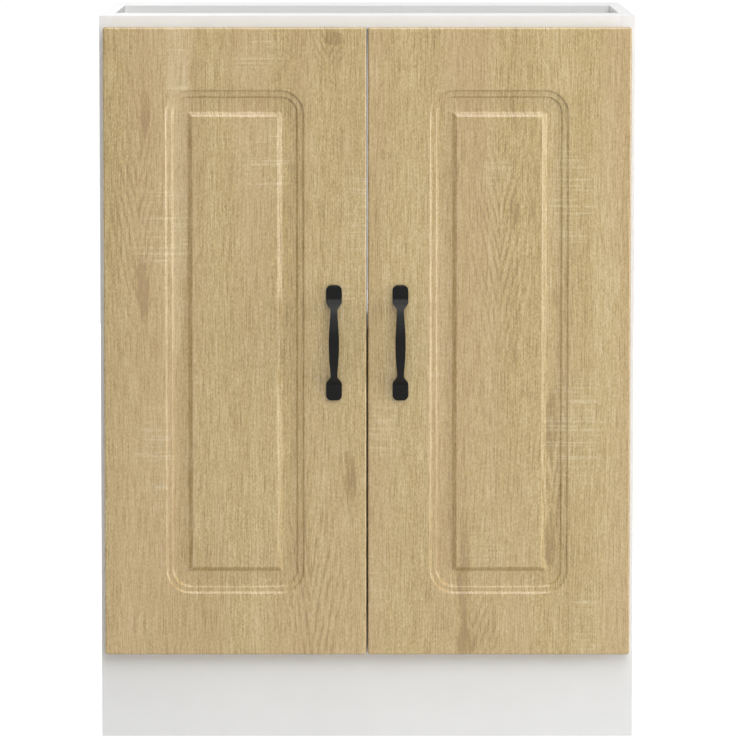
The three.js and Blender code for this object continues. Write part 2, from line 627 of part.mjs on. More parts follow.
// Everything that one side of the cabinet holds, drawn for the left and mirrored for the right.
function buildSide(side) {
  const half = new THREE.Group();
  const mirror = side === "left" ? 1 : -1;
  half.scale.x = mirror;
  half.position.set((-mirror * WIDTH) / 2, FRONT_Y, 0);
  cabinet.add(half);

  add(half, `side_panel_${side}`, sidePanelSolid(), WHITE_BOARD);
  for (const [place, connection] of Object.entries(CONNECTIONS)) {
    const screw = flushScrewSolid(CONNECTING_SCREW, connectionFoot(connection), INWARD);
    add(half, `connecting_screw_${side}_${place}`, screw, ZINC);
  }
  for (const [place, back] of Object.entries(SHELF_PINS)) {
    add(half, `shelf_pin_${side}_${place}`, shelfPinSolid(back), ZINC);
  }

  add(half, `door_${side}`, doorSolid(), OAK_FOIL);
  add(half, `handle_${side}`, handleSolid(), BLACK_METAL);
  handleScrewFeet().forEach((foot, i) => {
    add(half, `handle_screw_${side}_${i ? "upper" : "lower"}`, screwSolid(HANDLE_SCREW, foot, FRONT), ZINC);
  });

  for (const [level, z] of Object.entries(HINGE_HEIGHTS)) {
    const suffix = `${side}_${level}`;
    add(half, `hinge_cup_${suffix}`, hingeCupSolid(), NICKEL, z);
    add(half, `hinge_plate_${suffix}`, hingePlateSolid(), NICKEL, z);
    add(half, `hinge_arm_${suffix}`, hingeArmSolid(), NICKEL, z);
    add(half, `hinge_link_${suffix}`, hingeLinkSolid(), NICKEL, z);
    add(half, `arm_screw_${suffix}`, screwSolid(ARM_SCREW, CLAMP_FOOT, OUTWARD), ZINC, z);
    cupScrewFeet(0, FLANGE_THICKNESS - DOOR_BACK_GAP).forEach((foot, i) => {
      const name = `cup_screw_${suffix}_${i ? "high" : "low"}`;
      add(half, name, screwSolid(CUP_SCREW, foot, FRONT), ZINC, z);
    });
    plateScrewFeet(0).forEach((foot, i) => {
      const name = `plate_screw_${suffix}_${i ? "high" : "low"}`;
      add(half, name, screwSolid(PLATE_SCREW, foot, OUTWARD), ZINC, z);
    });
  }
}

buildSide("left");
buildSide("right");

add(cabinet, "bottom_panel", bottomPanelSolid(), WHITE_BOARD);
add(cabinet, "top_rail_front", boardSolid(INNER_WIDTH / 2, 0, FRONT_RAIL_DEPTH, RAIL_BOTTOM, HEIGHT), WHITE_BOARD);
add(cabinet, "top_rail_rear", rearRailSolid(), WHITE_BOARD);
add(cabinet, "back_panel", backPanelSolid(), HARDBOARD);

const shelfHalf = INNER_WIDTH / 2 - SHELF_CLEARANCE;
add(cabinet, "shelf", boardSolid(shelfHalf, SHELF_SETBACK, SHELF_REAR, SHELF_BOTTOM, SHELF_TOP), WHITE_BOARD);

add(cabinet, "plinth_board", boardSolid(WIDTH / 2, 0, PLINTH_BOARD, 0, PLINTH_HEIGHT), WHITE_BOARD);

export default cabinet;
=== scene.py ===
"""Sink base cabinet: the looks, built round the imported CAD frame.

Metres, +Z up, +X right, and the doors face -Y. Every piece is built in the cabinet's own frame, with
its object at the origin and its place in its mesh.
"""

import logging
import math
from dataclasses import dataclass, field
from enum import Enum
from typing import Callable, Iterable, Optional, Sequence, Union

import bmesh
import bpy
from mathutils import Matrix, Vector


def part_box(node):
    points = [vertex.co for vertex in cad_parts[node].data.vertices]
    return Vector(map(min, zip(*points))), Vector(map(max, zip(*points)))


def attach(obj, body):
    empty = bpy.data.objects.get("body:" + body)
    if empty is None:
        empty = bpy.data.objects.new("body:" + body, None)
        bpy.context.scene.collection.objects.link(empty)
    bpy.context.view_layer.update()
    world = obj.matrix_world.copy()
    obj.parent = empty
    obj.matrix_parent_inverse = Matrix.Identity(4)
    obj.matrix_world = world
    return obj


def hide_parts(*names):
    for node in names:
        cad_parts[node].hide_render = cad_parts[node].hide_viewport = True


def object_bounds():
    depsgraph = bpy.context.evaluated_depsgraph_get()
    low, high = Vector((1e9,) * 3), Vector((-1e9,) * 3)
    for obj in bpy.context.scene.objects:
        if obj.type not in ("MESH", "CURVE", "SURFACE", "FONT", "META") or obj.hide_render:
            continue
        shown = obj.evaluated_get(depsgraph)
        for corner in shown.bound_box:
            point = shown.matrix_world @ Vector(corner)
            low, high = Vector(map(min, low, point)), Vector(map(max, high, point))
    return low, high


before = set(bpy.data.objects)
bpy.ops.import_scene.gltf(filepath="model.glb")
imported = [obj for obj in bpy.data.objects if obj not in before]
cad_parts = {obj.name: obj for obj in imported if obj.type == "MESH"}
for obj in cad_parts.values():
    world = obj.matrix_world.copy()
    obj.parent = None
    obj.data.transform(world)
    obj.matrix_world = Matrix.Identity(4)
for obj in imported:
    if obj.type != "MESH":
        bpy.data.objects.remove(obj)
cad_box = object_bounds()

LOG = logging.getLogger("sink_base_cabinet")
MM = 0.001
FULL_TURN = 2 * math.pi
QUARTER_TURN = math.pi / 2
ON_PLANE = 0.02 * MM
MERGE_WITHIN = 0.004 * MM
ROUND = 0.5
KEEP_FINISH = -1
SHORTEST_STRETCH = 1e-9
AREA_WEIGHT = 80
NODE_STEP = (190, -210)
NODES_IN_ROW = 12
NOISE_BAND = (0.3, 0.7)

Point = Sequence[float]
Value = Union[bpy.types.NodeSocket, float, Point]


# ---------------------------------------------------------------- named choices
class Slot(Enum):
    """The names of the record's material slots, which no piece in this script is given."""

    WHITE_BOARD = "white_board"
    HARDBOARD = "hardboard"
    OAK_FOIL = "oak_foil"
    BLACK_METAL = "black_metal"
    NICKEL = "nickel"
    ZINC = "zinc"


class Side(Enum):
    """The two halves of the cabinet, which mirror each other."""

    LEFT = "left"
    RIGHT = "right"

    @property
    def inward(self) -> int:
        """Sign of X from this side's outer face towards the middle."""
        return 1 if self is Side.LEFT else -1


class Level(Enum):
    """The heights at which a door has a hinge."""

    UPPER = "upper"
    LOWER = "lower"


class Drive(Enum):
    """The recess that turns a screw."""

    CROSS = "cross"
    HEX = "hex"


# ---------------------------------------------------------------- measures
@dataclass(frozen=True)
class Extent:
    """A box from its lowest to its highest corner."""

    low: Vector
    high: Vector

    @classmethod
    def of(cls, node: str) -> "Extent":
        """The box that a CAD node fills at rest."""
        return cls(*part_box(node))

    @property
    def centre(self) -> Vector:
        """Middle of the box."""
        return (self.low + self.high) / 2

    @property
    def size(self) -> Vector:
        """Length of the box along each axis."""
        return self.high - self.low


def sampled(path: Sequence[Point], at: float) -> float:
    """Reads a curve given as (place, height) points.

    Args:
        path: points in rising order of place.
        at: the place to read at; the ends hold beyond the path.

    Returns:
        The height there, straight between the two nearest points.
    """
    if at <= path[0][0]:
        return path[0][1]
    for (x0, y0), (x1, y1) in zip(path, path[1:]):
        if at <= x1:
            return y0 + (y1 - y0) * (at - x0) / max(x1 - x0, SHORTEST_STRETCH)
    return path[-1][1]


def bezier(
    start: Point, lead: Point, follow: Point, end: Point, steps: int = 24
) -> list[tuple[float, float]]:
    """Points along a cubic curve, sorted by their first coordinate.

    Args:
        start: first end of the curve.
        lead: its control point by the start.
        follow: its control point by the end.
        end: last end of the curve.
        steps: number of stretches.

    Returns:
        The points in rising order of their first coordinate.
    """
    controls = (start, lead, follow, end)
    points = []
    for i in range(steps + 1):
        t = i / steps
        weights = ((1 - t) ** 3, 3 * t * (1 - t) ** 2, 3 * t * t * (1 - t), t**3)
        points.append(tuple(sum(w * p[axis] for w, p in zip(weights, controls)) for axis in (0, 1)))
    return sorted(points)


@dataclass(frozen=True)
class RoundedLine:
    """A round-cornered rectangle that stands in the XZ plane."""

    width: float
    height: float
    radius: float
    centre: Vector

    def corner(self, x: int, z: int) -> Vector:
        """Middle of the arc of the corner on the given sides of the centre."""
        half_width, half_height = self.width / 2 - self.radius, self.height / 2 - self.radius
        return self.centre + Vector((x * half_width, 0, z * half_height))


# ---------------------------------------------------------------- mesh work
class Workpiece:
    """A mesh under work, shaped with bmesh operators."""

    def __init__(self) -> None:
        """Starts with nothing on the bench."""
        self.bm = bmesh.new()

    def block(self, extent: Extent) -> None:
        """Adds a box that fills a space."""
        corners = bmesh.ops.create_cube(self.bm, size=1.0)["verts"]
        bmesh.ops.scale(self.bm, vec=extent.size, verts=corners)
        bmesh.ops.translate(self.bm, vec=extent.centre, verts=corners)

    def rod(self, radius: float, low: Vector, high: Vector, segments: int) -> None:
        """Adds a capped cylinder between two points.

        Args:
            radius: its radius.
            low: middle of its first end.
            high: middle of its other end.
            segments: sides round it.
        """
        along = high - low
        turn = Vector((0, 0, 1)).rotation_difference(along).to_matrix().to_4x4()
        bmesh.ops.create_cone(
            self.bm,
            cap_ends=True,
            segments=segments,
            radius1=radius,
            radius2=radius,
            depth=along.length,
            matrix=Matrix.Translation((low + high) / 2) @ turn,
        )

    def outline(self, line: RoundedLine, steps: int) -> list[bmesh.types.BMEdge]:
        """Adds the edges of a round-cornered rectangle that stands in the XZ plane.

        Args:
            line: its place, size and corner radius.
            steps: stretches round each corner.

        Returns:
            The edges of the closed outline.
        """
        corners = bmesh.ops.create_grid(self.bm, x_segments=1, y_segments=1, size=0.5)["verts"]
        bmesh.ops.scale(self.bm, vec=(line.width, line.height, 1), verts=corners)
        bmesh.ops.rotate(self.bm, matrix=Matrix.Rotation(QUARTER_TURN, 3, "X"), verts=corners)
        bmesh.ops.translate(self.bm, vec=line.centre, verts=corners)
        rounded = bmesh.ops.bevel(
            self.bm,
            geom=corners,
            offset=line.radius,
            affect="VERTICES",
            segments=steps,
            profile=ROUND,
            material=KEEP_FINISH,
        )
        sheet = rounded["verts"][0].link_faces[0]
        edges = list(sheet.edges)
        bmesh.ops.delete(self.bm, geom=[sheet], context="FACES_ONLY")
        return edges

    def draw_on(
        self, edges: list[bmesh.types.BMEdge], near: RoundedLine, far: RoundedLine
    ) -> list[bmesh.types.BMEdge]:
        """Extrudes an outline into the next one, corner by corner, so that their points stay paired.

        Args:
            edges: the outline so far.
            near: its place, size and corner radius.
            far: those of the next outline.

        Returns:
            The edges of the next outline.
        """
        drawn = bmesh.ops.extrude_edge_only(self.bm, edges=edges)["geom"]
        points = [p for p in drawn if isinstance(p, bmesh.types.BMVert)]
        sized = Matrix.Scale(far.radius / near.radius, 4)
        middle = near.centre
        for x in (-1, 1):
            for z in (-1, 1):
                corner = [p for p in points if (p.co.x - middle.x) * x > 0 and (p.co.z - middle.z) * z > 0]
                place = Matrix.Translation(far.corner(x, z)) @ sized @ Matrix.Translation(-near.corner(x, z))
                bmesh.ops.transform(self.bm, matrix=place, verts=corner)
        return [p for p in drawn if isinstance(p, bmesh.types.BMEdge)]

    def loft(self, lines: Sequence[RoundedLine], steps: int) -> None:
        """Makes a closed shape through outlines, capped at both ends.

        Args:
            lines: the outlines, from one end to the other.
            steps: stretches round each corner.
        """
        edges = self.outline(lines[0], steps)
        self.cap(edges)
        for near, far in zip(lines, lines[1:]):
            edges = self.draw_on(edges, near, far)
        self.cap(edges)
        self.close_up()

    def cap(self, loop: list[bmesh.types.BMEdge]) -> None:
        """Closes an outline with one face."""
        bmesh.ops.contextual_create(self.bm, geom=loop)

    def draw_out(self, faces: list[bmesh.types.BMFace]) -> list[bmesh.types.BMVert]:
        """Extrudes faces where they lie and finds the new faces' points."""
        made = bmesh.ops.extrude_face_region(self.bm, geom=faces)["geom"]
        return [p for p in made if isinstance(p, bmesh.types.BMVert)]

    def round_edges(
        self,
        width: float,
        segments: int = 2,
        pick: Optional[Callable[[bmesh.types.BMEdge], bool]] = None,
        sharper_than: float = 30.0,
    ) -> None:
        """Rounds the sharp edges.

        Args:
            width: how far from the edge the rounding starts.
            segments: facets across it.
            pick: takes an edge and says whether it is rounded; all sharp edges where it is left out.
            sharper_than: the angle between two faces from which their edge is sharp, in degrees.
        """
        self.bm.normal_update()
        limit = math.radians(sharper_than)
        sharp = [
            e
            for e in self.bm.edges
            if len(e.link_faces) == 2 and e.calc_face_angle(0.0) > limit and (pick is None or pick(e))
        ]
        bmesh.ops.bevel(
            self.bm,
            geom=sharp,
            offset=width,
            affect="EDGES",
            segments=segments,
            profile=ROUND,
            material=KEEP_FINISH,
            clamp_overlap=True,
        )

    def turn_profile(self, profile: Sequence[Point], steps: int) -> None:
        """Turns a (radius, height) profile about the Z axis.

        Args:
            profile: its points, in order.
            steps: facets round the axis.
        """
        points = [self.bm.verts.new((radius, 0.0, height)) for radius, height in profile]
        edges = [self.bm.edges.new(pair) for pair in zip(points, points[1:])]
        bmesh.ops.spin(
            self.bm,
            geom=points + edges,
            cent=(0, 0, 0),
            axis=(0, 0, 1),
            angle=FULL_TURN,
            steps=steps,
            use_merge=True,
            use_duplicate=False,
        )
        bmesh.ops.remove_doubles(self.bm, verts=self.bm.verts[:], dist=ON_PLANE)

    def close_up(self) -> None:
        """Merges doubles and turns every face outwards."""
        bmesh.ops.remove_doubles(self.bm, verts=self.bm.verts[:], dist=MERGE_WITHIN)
        bmesh.ops.recalc_face_normals(self.bm, faces=self.bm.faces[:])

    def move(self, matrix: Matrix) -> None:
        """Places the whole mesh, and turns its faces back where the matrix mirrors it."""
        bmesh.ops.transform(self.bm, matrix=matrix, verts=self.bm.verts[:])
        if matrix.determinant() < 0:
            bmesh.ops.reverse_faces(self.bm, faces=self.bm.faces[:])

    def paint(self, index: int, where: Callable[[bmesh.types.BMFace], bool]) -> None:
        """Gives the faces that pass a test another of the piece's finishes."""
        self.bm.normal_update()
        for face in self.bm.faces:
            if where(face):
                face.material_index = index

    def cut(self, *tools: "Workpiece", operation: str = "DIFFERENCE") -> None:
        """Cuts other meshes out of this one, or joins them to it.

        Args:
            tools: the meshes, which are used up.
            operation: DIFFERENCE, UNION or INTERSECT.
        """
        for tool in tools:
            target = self._as_object("target")
            cutter = tool._as_object("cutter")
            modifier = target.modifiers.new("cut", "BOOLEAN")
            modifier.object = cutter
            modifier.operation = operation
            modifier.solver = "EXACT"
            graph = bpy.context.evaluated_depsgraph_get()
            result = bpy.data.meshes.new_from_object(target.evaluated_get(graph))
            self.bm.clear()
            self.bm.from_mesh(result)
            for helper in (target, cutter):
                mesh = helper.data
                bpy.data.objects.remove(helper)
                bpy.data.meshes.remove(mesh)
            bpy.data.meshes.remove(result)
        for tool in tools:
            tool.bm.free()

    def _as_object(self, name: str) -> bpy.types.Object:
        """A helper object that holds a copy of the mesh."""
        mesh = bpy.data.meshes.new(name)
        self.bm.to_mesh(mesh)
        helper = bpy.data.objects.new(name, mesh)
        bpy.context.scene.collection.objects.link(helper)
        return helper

    def deliver(
        self,
        name: str,
        body: str,
        finishes: Sequence[bpy.types.Material],
        replaces: Iterable[str] = (),
        smooth_below: float = 50.0,
    ) -> bpy.types.Object:
        """Makes the finished piece from the mesh and sets it on its body.

        Args:
            name: the piece's name.
            body: the CAD body that it rides on.
            finishes: its materials, in the order of its faces' indices.
            replaces: the CAD nodes that it stands for.
            smooth_below: the angle up to which neighbouring faces are shaded as one surface, in degrees.

        Returns:
            The piece.
        """
        mesh = bpy.data.meshes.new(name)
        for face in self.bm.faces:
            face.smooth = True
        self.bm.to_mesh(mesh)
        self.bm.free()
        mesh.set_sharp_from_angle(angle=math.radians(smooth_below))
        for finish in finishes:
            mesh.materials.append(finish)
        piece = bpy.data.objects.new(name, mesh)
        bpy.context.scene.collection.objects.link(piece)
        shading = piece.modifiers.new("even_shading", "WEIGHTED_NORMAL")
        shading.keep_sharp = True
        shading.weight = AREA_WEIGHT
        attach(piece, body)
        if replaces:
            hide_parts(*replaces)
        LOG.info("%s rides on %s with %d faces", name, body, len(mesh.polygons))
        return piece


# ---------------------------------------------------------------- shader work
def shade(code: str) -> tuple[float, float, float, float]:
    """A colour written as six hex digits, as the linear values that a shader takes."""
    channels = [int(code[i : i + 2], 16) / 255 for i in (0, 2, 4)]
    return (*[c / 12.92 if c <= 0.04045 else ((c + 0.055) / 1.055) ** 2.4 for c in channels], 1.0)


@dataclass(frozen=True)
class Streaks:
    """Streaky noise: its periods per metre across and along the grain, its seed and its detail."""

    across: float
    along: float
    seed: float = 0.0
    detail: float = 1.0


class Graph:
    """The nodes and links of one material or node group."""

    def __init__(self, tree: bpy.types.NodeTree) -> None:
        """Takes the tree that the nodes go in."""
        self.tree = tree

    def node(self, kind: str, **settings: object) -> bpy.types.Node:
        """Adds a node with its settings."""
        made = self.tree.nodes.new(kind)
        for key, value in settings.items():
            setattr(made, key, value)
        row, column = divmod(len(self.tree.nodes), NODES_IN_ROW)
        made.location = (NODE_STEP[0] * column, NODE_STEP[1] * row)
        return made

    def feed(self, socket: bpy.types.NodeSocket, value: Value) -> None:
        """Links a socket to an input, or sets the input's constant."""
        if isinstance(value, bpy.types.NodeSocket):
            self.tree.links.new(value, socket)
        else:
            socket.default_value = value

    def math(self, operation: str, *values: Value, clamp: bool = False) -> bpy.types.NodeSocket:
        """A Math node's result."""
        made = self.node("ShaderNodeMath", operation=operation, use_clamp=clamp)
        for socket, value in zip(made.inputs, values):
            self.feed(socket, value)
        return made.outputs[0]

    def vector(self, operation: str, *values: Value) -> bpy.types.NodeSocket:
        """A Vector Math node's result."""
        made = self.node("ShaderNodeVectorMath", operation=operation)
        for socket, value in zip(made.inputs, values):
            self.feed(socket, value)
        return made.outputs["Value" if operation == "LENGTH" else "Vector"]

    def combine(self, x: Value, y: Value, z: Value) -> bpy.types.NodeSocket:
        """A vector from three values."""
        made = self.node("ShaderNodeCombineXYZ")
        for socket, value in zip(made.inputs, (x, y, z)):
            self.feed(socket, value)
        return made.outputs[0]

    def noise(
        self, place: Value, scale: float = 1.0, detail: float = 2.0, rough: float = 0.5
    ) -> bpy.types.NodeSocket:
        """Smooth noise from 0 to 1 at a place."""
        made = self.node("ShaderNodeTexNoise")
        for name, value in (("Vector", place), ("Scale", scale), ("Detail", detail), ("Roughness", rough)):
            self.feed(made.inputs[name], value)
        return made.outputs[0]

    def streaks(self, across: Value, along: Value, kind: Streaks, seed: float = 0.0) -> bpy.types.NodeSocket:
        """Noise on (across, along), with its own number of periods per metre each way.

        Args:
            across: place across the grain.
            along: place along the grain.
            kind: its fineness, detail and seed.
            seed: added to its own seed.

        Returns:
            The noise, from 0 to 1.
        """
        x, y = self.math("MULTIPLY", across, kind.across), self.math("MULTIPLY", along, kind.along)
        return self.noise(self.combine(x, y, kind.seed + seed), detail=kind.detail)

    def remap(
        self, value: Value, low: float, high: float, to_low: float = 0.0, to_high: float = 1.0
    ) -> bpy.types.NodeSocket:
        """A value eased from one range to another and held at its ends."""
        made = self.node("ShaderNodeMapRange", interpolation_type="SMOOTHSTEP")
        for socket, entry in zip(made.inputs, (value, low, high, to_low, to_high)):
            self.feed(socket, entry)
        return made.outputs[0]

    def mix(self, factor: Value, first: Value, second: Value, blend: str = "MIX") -> bpy.types.NodeSocket:
        """Two colours mixed by a factor."""
        made = self.node("ShaderNodeMix", data_type="RGBA", blend_type=blend)
        for index, value in ((0, factor), (6, first), (7, second)):
            self.feed(made.inputs[index], value)
        return made.outputs[2]

    def ramp(self, value: Value, stops: Sequence[tuple[float, str]]) -> bpy.types.NodeSocket:
        """A colour read from a ramp of (place, hex colour) stops."""
        made = self.node("ShaderNodeValToRGB")
        elements = made.color_ramp.elements
        while len(elements) < len(stops):
            elements.new(0.5)
        for element, (position, code) in zip(elements, stops):
            element.position = position
            element.color = shade(code)
        self.feed(made.inputs[0], value)
        return made.outputs[0]

    def group(self, tree: bpy.types.NodeTree, **inputs: Value) -> bpy.types.Node:
        """Places a shared group; an input's name has its spaces written as underscores."""
        made = self.node("ShaderNodeGroup", node_tree=tree)
        for name, value in inputs.items():
            self.feed(made.inputs[name.replace("_", " ")], value)
        return made


class SharedEffects:
    """The node groups that more than one finish uses, each built once."""

    LINES_PER_M = 140
    LINE_SWAY = 6.0
    LINE_WARBLE = Streaks(60, 22, 3.3, 2.0)
    LINE_BREAKS = Streaks(260, 70, 5.1)
    RINGS_PER_M = 170
    RING_SWAY = 9.0
    RING_WARBLE = Streaks(60, 9, 3.3)
    WIDE_BAND = Streaks(34, 1.1, 1.7, 2.0)
    NARROW_BAND = Streaks(150, 2.6, 4.1, 2.0)
    BLUSH = Streaks(19, 1.4, 8.3)
    FIBRE = Streaks(900, 26, 2.9)
    DASHES = Streaks(820, 330, 7.7)
    PORES = Streaks(640, 60, 6.2)
    SAW_LINES = Streaks(11, 430, 9.4, 0.0)
    SAW_ROWS = Streaks(40, 520, 12.1, 0.0)
    SAW_STEMS = Streaks(430, 24, 5.5, 0.0)

    def __init__(self) -> None:
        """Builds every group."""
        self.spot = self._spot()
        self.grit = self._grit()
        self.handling = self._handling()
        self.growth_lines = self._growth_lines()
        self.oak_print = self._oak_print()

    @staticmethod
    def _open(
        name: str, inputs: dict[str, str], outputs: dict[str, str]
    ) -> tuple[Graph, bpy.types.Node, bpy.types.Node]:
        """Starts a group.

        Args:
            name: the group's name.
            inputs: kind of each input by its name.
            outputs: kind of each output by its name.

        Returns:
            The group's graph, and the nodes of its inputs and outputs.
        """
        tree = bpy.data.node_groups.new(name, "ShaderNodeTree")
        for way, sockets in (("INPUT", inputs), ("OUTPUT", outputs)):
            for label, kind in sockets.items():
                tree.interface.new_socket(name=label, in_out=way, socket_type=f"NodeSocket{kind}")
        graph = Graph(tree)
        return graph, graph.node("NodeGroupInput"), graph.node("NodeGroupOutput")

    def _spot(self) -> bpy.types.NodeTree:
        """An elliptical mask about a centre: 1 in its core and 0 from its edge on."""
        graph, given, result = self._open(
            "soft_spot",
            {"Place": "Vector", "Centre": "Vector", "Half Size": "Vector", "Core": "Float"},
            {"Mask": "Float"},
        )
        away = graph.vector("SUBTRACT", given.outputs["Place"], given.outputs["Centre"])
        share = graph.vector("DIVIDE", away, given.outputs["Half Size"])
        distance = graph.vector("LENGTH", share)
        graph.feed(result.inputs["Mask"], graph.remap(distance, given.outputs["Core"], 1.0, 1.0, 0.0))
        return graph.tree

    def _grit(self) -> bpy.types.NodeTree:
        """Fine even texture: a height for bump and a speckle for roughness."""
        graph, given, result = self._open(
            "fine_grit", {"Place": "Vector", "Per Metre": "Float"}, {"Height": "Float", "Speckle": "Float"}
        )
        scaled = graph.node("ShaderNodeVectorMath", operation="SCALE")
        graph.feed(scaled.inputs[0], given.outputs["Place"])
        graph.feed(scaled.inputs["Scale"], given.outputs["Per Metre"])
        fine = graph.noise(scaled.outputs[0], detail=2.0, rough=0.6)
        coarse = graph.noise(scaled.outputs[0], scale=0.23, detail=1.0)
        graph.feed(result.inputs["Height"], graph.math("MULTIPLY_ADD", coarse, 0.6, fine))
        graph.feed(result.inputs["Speckle"], graph.remap(coarse, *NOISE_BAND))
        return graph.tree

    def _handling(self) -> bpy.types.NodeTree:
        """Broad soft unevenness that handling leaves, for colour and gloss."""
        graph, given, result = self._open("handling", {"Place": "Vector"}, {"Mottle": "Float"})
        broad = graph.noise(given.outputs["Place"], scale=5.0, detail=3.0)
        near = graph.noise(given.outputs["Place"], scale=31.0, detail=2.0)
        mottle = graph.math("MULTIPLY_ADD", near, 0.4, graph.math("MULTIPLY", broad, 0.6))
        graph.feed(result.inputs["Mottle"], mottle)
        return graph.tree

    def _growth_lines(self) -> bpy.types.NodeTree:
        """Lines that meet in points on a figure's axis: dark ones and the paler wood between them."""
        graph, given, result = self._open(
            "growth_lines",
            {"Across": "Float", "Along": "Float", "Axis": "Float", "Flare": "Float"},
            {"Dark": "Float", "Pale": "Float"},
        )
        across, along, axis, flare = given.outputs[:4]
        beside = graph.math("ABSOLUTE", graph.math("SUBTRACT", across, axis))
        climb = graph.math("MULTIPLY_ADD", along, graph.math("MULTIPLY", flare, -1.0), beside)
        warble = graph.streaks(across, along, self.LINE_WARBLE)
        sway = graph.math("MULTIPLY", warble, self.LINE_SWAY)
        wave = graph.math("SINE", graph.math("MULTIPLY_ADD", climb, FULL_TURN * self.LINES_PER_M, sway))
        broken = graph.remap(graph.streaks(across, along, self.LINE_BREAKS), 0.3, 0.55)
        for label, crest in (("Dark", (0.45, 1.0)), ("Pale", (-0.5, -1.0))):
            graph.feed(result.inputs[label], graph.math("MULTIPLY", graph.remap(wave, *crest), broken))
        return graph.tree

    def _oak_print(self) -> bpy.types.NodeTree:
        """The parts of a printed oak grain, from places across and along its growth lines."""
        graph, given, result = self._open(
            "oak_print",
            {"Across": "Float", "Straight": "Float", "Along": "Float", "Saw Patch": "Float"},
            {label: "Float" for label in ("Band", "Blush", "Fibre", "Dashes", "Pores", "Rings", "Saw")},
        )
        across, straight, along, patch = given.outputs[:4]
        wide = graph.math("MULTIPLY_ADD", graph.streaks(across, along, self.WIDE_BAND), 0.32, 0.25)
        warble = graph.streaks(across, along, self.RING_WARBLE)
        sway = graph.math("MULTIPLY", warble, self.RING_SWAY)
        wave = graph.math("SINE", graph.math("MULTIPLY_ADD", across, FULL_TURN * self.RINGS_PER_M, sway))
        lines = graph.remap(graph.streaks(straight, along, self.SAW_LINES), 0.55, 0.72)
        rows = graph.remap(graph.streaks(straight, along, self.SAW_ROWS), 0.45, 0.7, 0.0, 0.34)
        stems = graph.remap(graph.streaks(straight, along, self.SAW_STEMS), 0.48, 0.72, 0.0, 0.26)
        marks = graph.math("MAXIMUM", lines, graph.math("ADD", rows, stems))
        parts = {
            "Band": graph.math("MULTIPLY_ADD", graph.streaks(across, along, self.NARROW_BAND), 0.2, wide),
            "Blush": graph.streaks(across, along, self.BLUSH),
            "Fibre": graph.streaks(across, along, self.FIBRE),
            "Dashes": graph.streaks(across, along, self.DASHES),
            "Pores": graph.remap(graph.streaks(across, along, self.PORES), 0.56, 0.7),
            "Rings": graph.remap(wave, 0.5, 1.0),
            "Saw": graph.math("MULTIPLY", marks, patch),
        }
        for label, part in parts.items():
            graph.feed(result.inputs[label], part)
        return graph.tree


@dataclass(frozen=True)
class Tint:
    """A colour laid over another, and how much of it lies where its mask is full."""

    code: str
    share: float


@dataclass(frozen=True)
class Figure:
    """Growth lines that meet in points on an upright axis, in millimetres on the cabinet's front."""

    x: float
    z: float
    half_width: float
    half_height: float
    flare: float
    heart: float = 0.0
    core: float = 0.0


@dataclass(frozen=True)
class PrintPatch:
    """A patch of the print that shows saw marks or another tone, in millimetres on the cabinet's front."""

    x: float
    z: float
    half_width: float
    half_height: float
    saw: float = 0.0
    tone: float = 0.0
    core: float = 0.4


class Finish:
    """What the finishes share: a material with a Principled shader that reads object coordinates."""

    def __init__(self, name: str) -> None:
        """Makes the empty material of the given name."""
        self.material = bpy.data.materials.new(name)
        self.material.use_nodes = True
        self.material.node_tree.nodes.clear()
        self.graph = Graph(self.material.node_tree)
        self.shader = self.graph.node("ShaderNodeBsdfPrincipled")
        output = self.graph.node("ShaderNodeOutputMaterial")
        self.graph.feed(output.inputs["Surface"], self.shader.outputs["BSDF"])
        self.place = self.graph.node("ShaderNodeTexCoord").outputs["Object"]

    def set(self, **inputs: Value) -> None:
        """Feeds the shader's inputs; a name has its spaces written as underscores."""
        for name, value in inputs.items():
            self.graph.feed(self.shader.inputs[name.replace("_", " ")], value)

    def bump(self, height: Value, depth: float) -> None:
        """Gives the surface relief.

        Args:
            height: the relief's height, 0 to about 1.
            depth: how deep a height of 1 stands, in metres.
        """
        relief = self.graph.node("ShaderNodeBump")
        self.graph.feed(relief.inputs["Distance"], depth)
        self.graph.feed(relief.inputs["Strength"], 1.0)
        self.graph.feed(relief.inputs["Height"], height)
        self.set(Normal=relief.outputs["Normal"])


@dataclass(frozen=True)
class PlainCoat:
    """An even coat, such as melamine or lacquer, whose tone and gloss vary a little."""

    name: str
    light: str
    dark: str
    rough: tuple[float, float]
    specular: float = 0.3
    grit_per_m: float = 1500.0
    grit_depth: float = 0.02 * MM

    def build(self, effects: SharedEffects) -> bpy.types.Material:
        """Makes the material from the shared groups."""
        finish = Finish(self.name)
        graph = finish.graph
        mottle = graph.group(effects.handling, Place=finish.place).outputs["Mottle"]
        grit = graph.group(effects.grit, Place=finish.place, Per_Metre=self.grit_per_m)
        colour = graph.mix(graph.remap(mottle, *NOISE_BAND), shade(self.dark), shade(self.light))
        uneven = graph.math("MULTIPLY_ADD", grit.outputs["Speckle"], 0.5, mottle)
        rough = graph.remap(uneven, 0.3, 1.0, *self.rough)
        finish.set(Base_Color=colour, Roughness=rough, Specular_IOR_Level=self.specular)
        finish.bump(grit.outputs["Height"], self.grit_depth)
        return finish.material


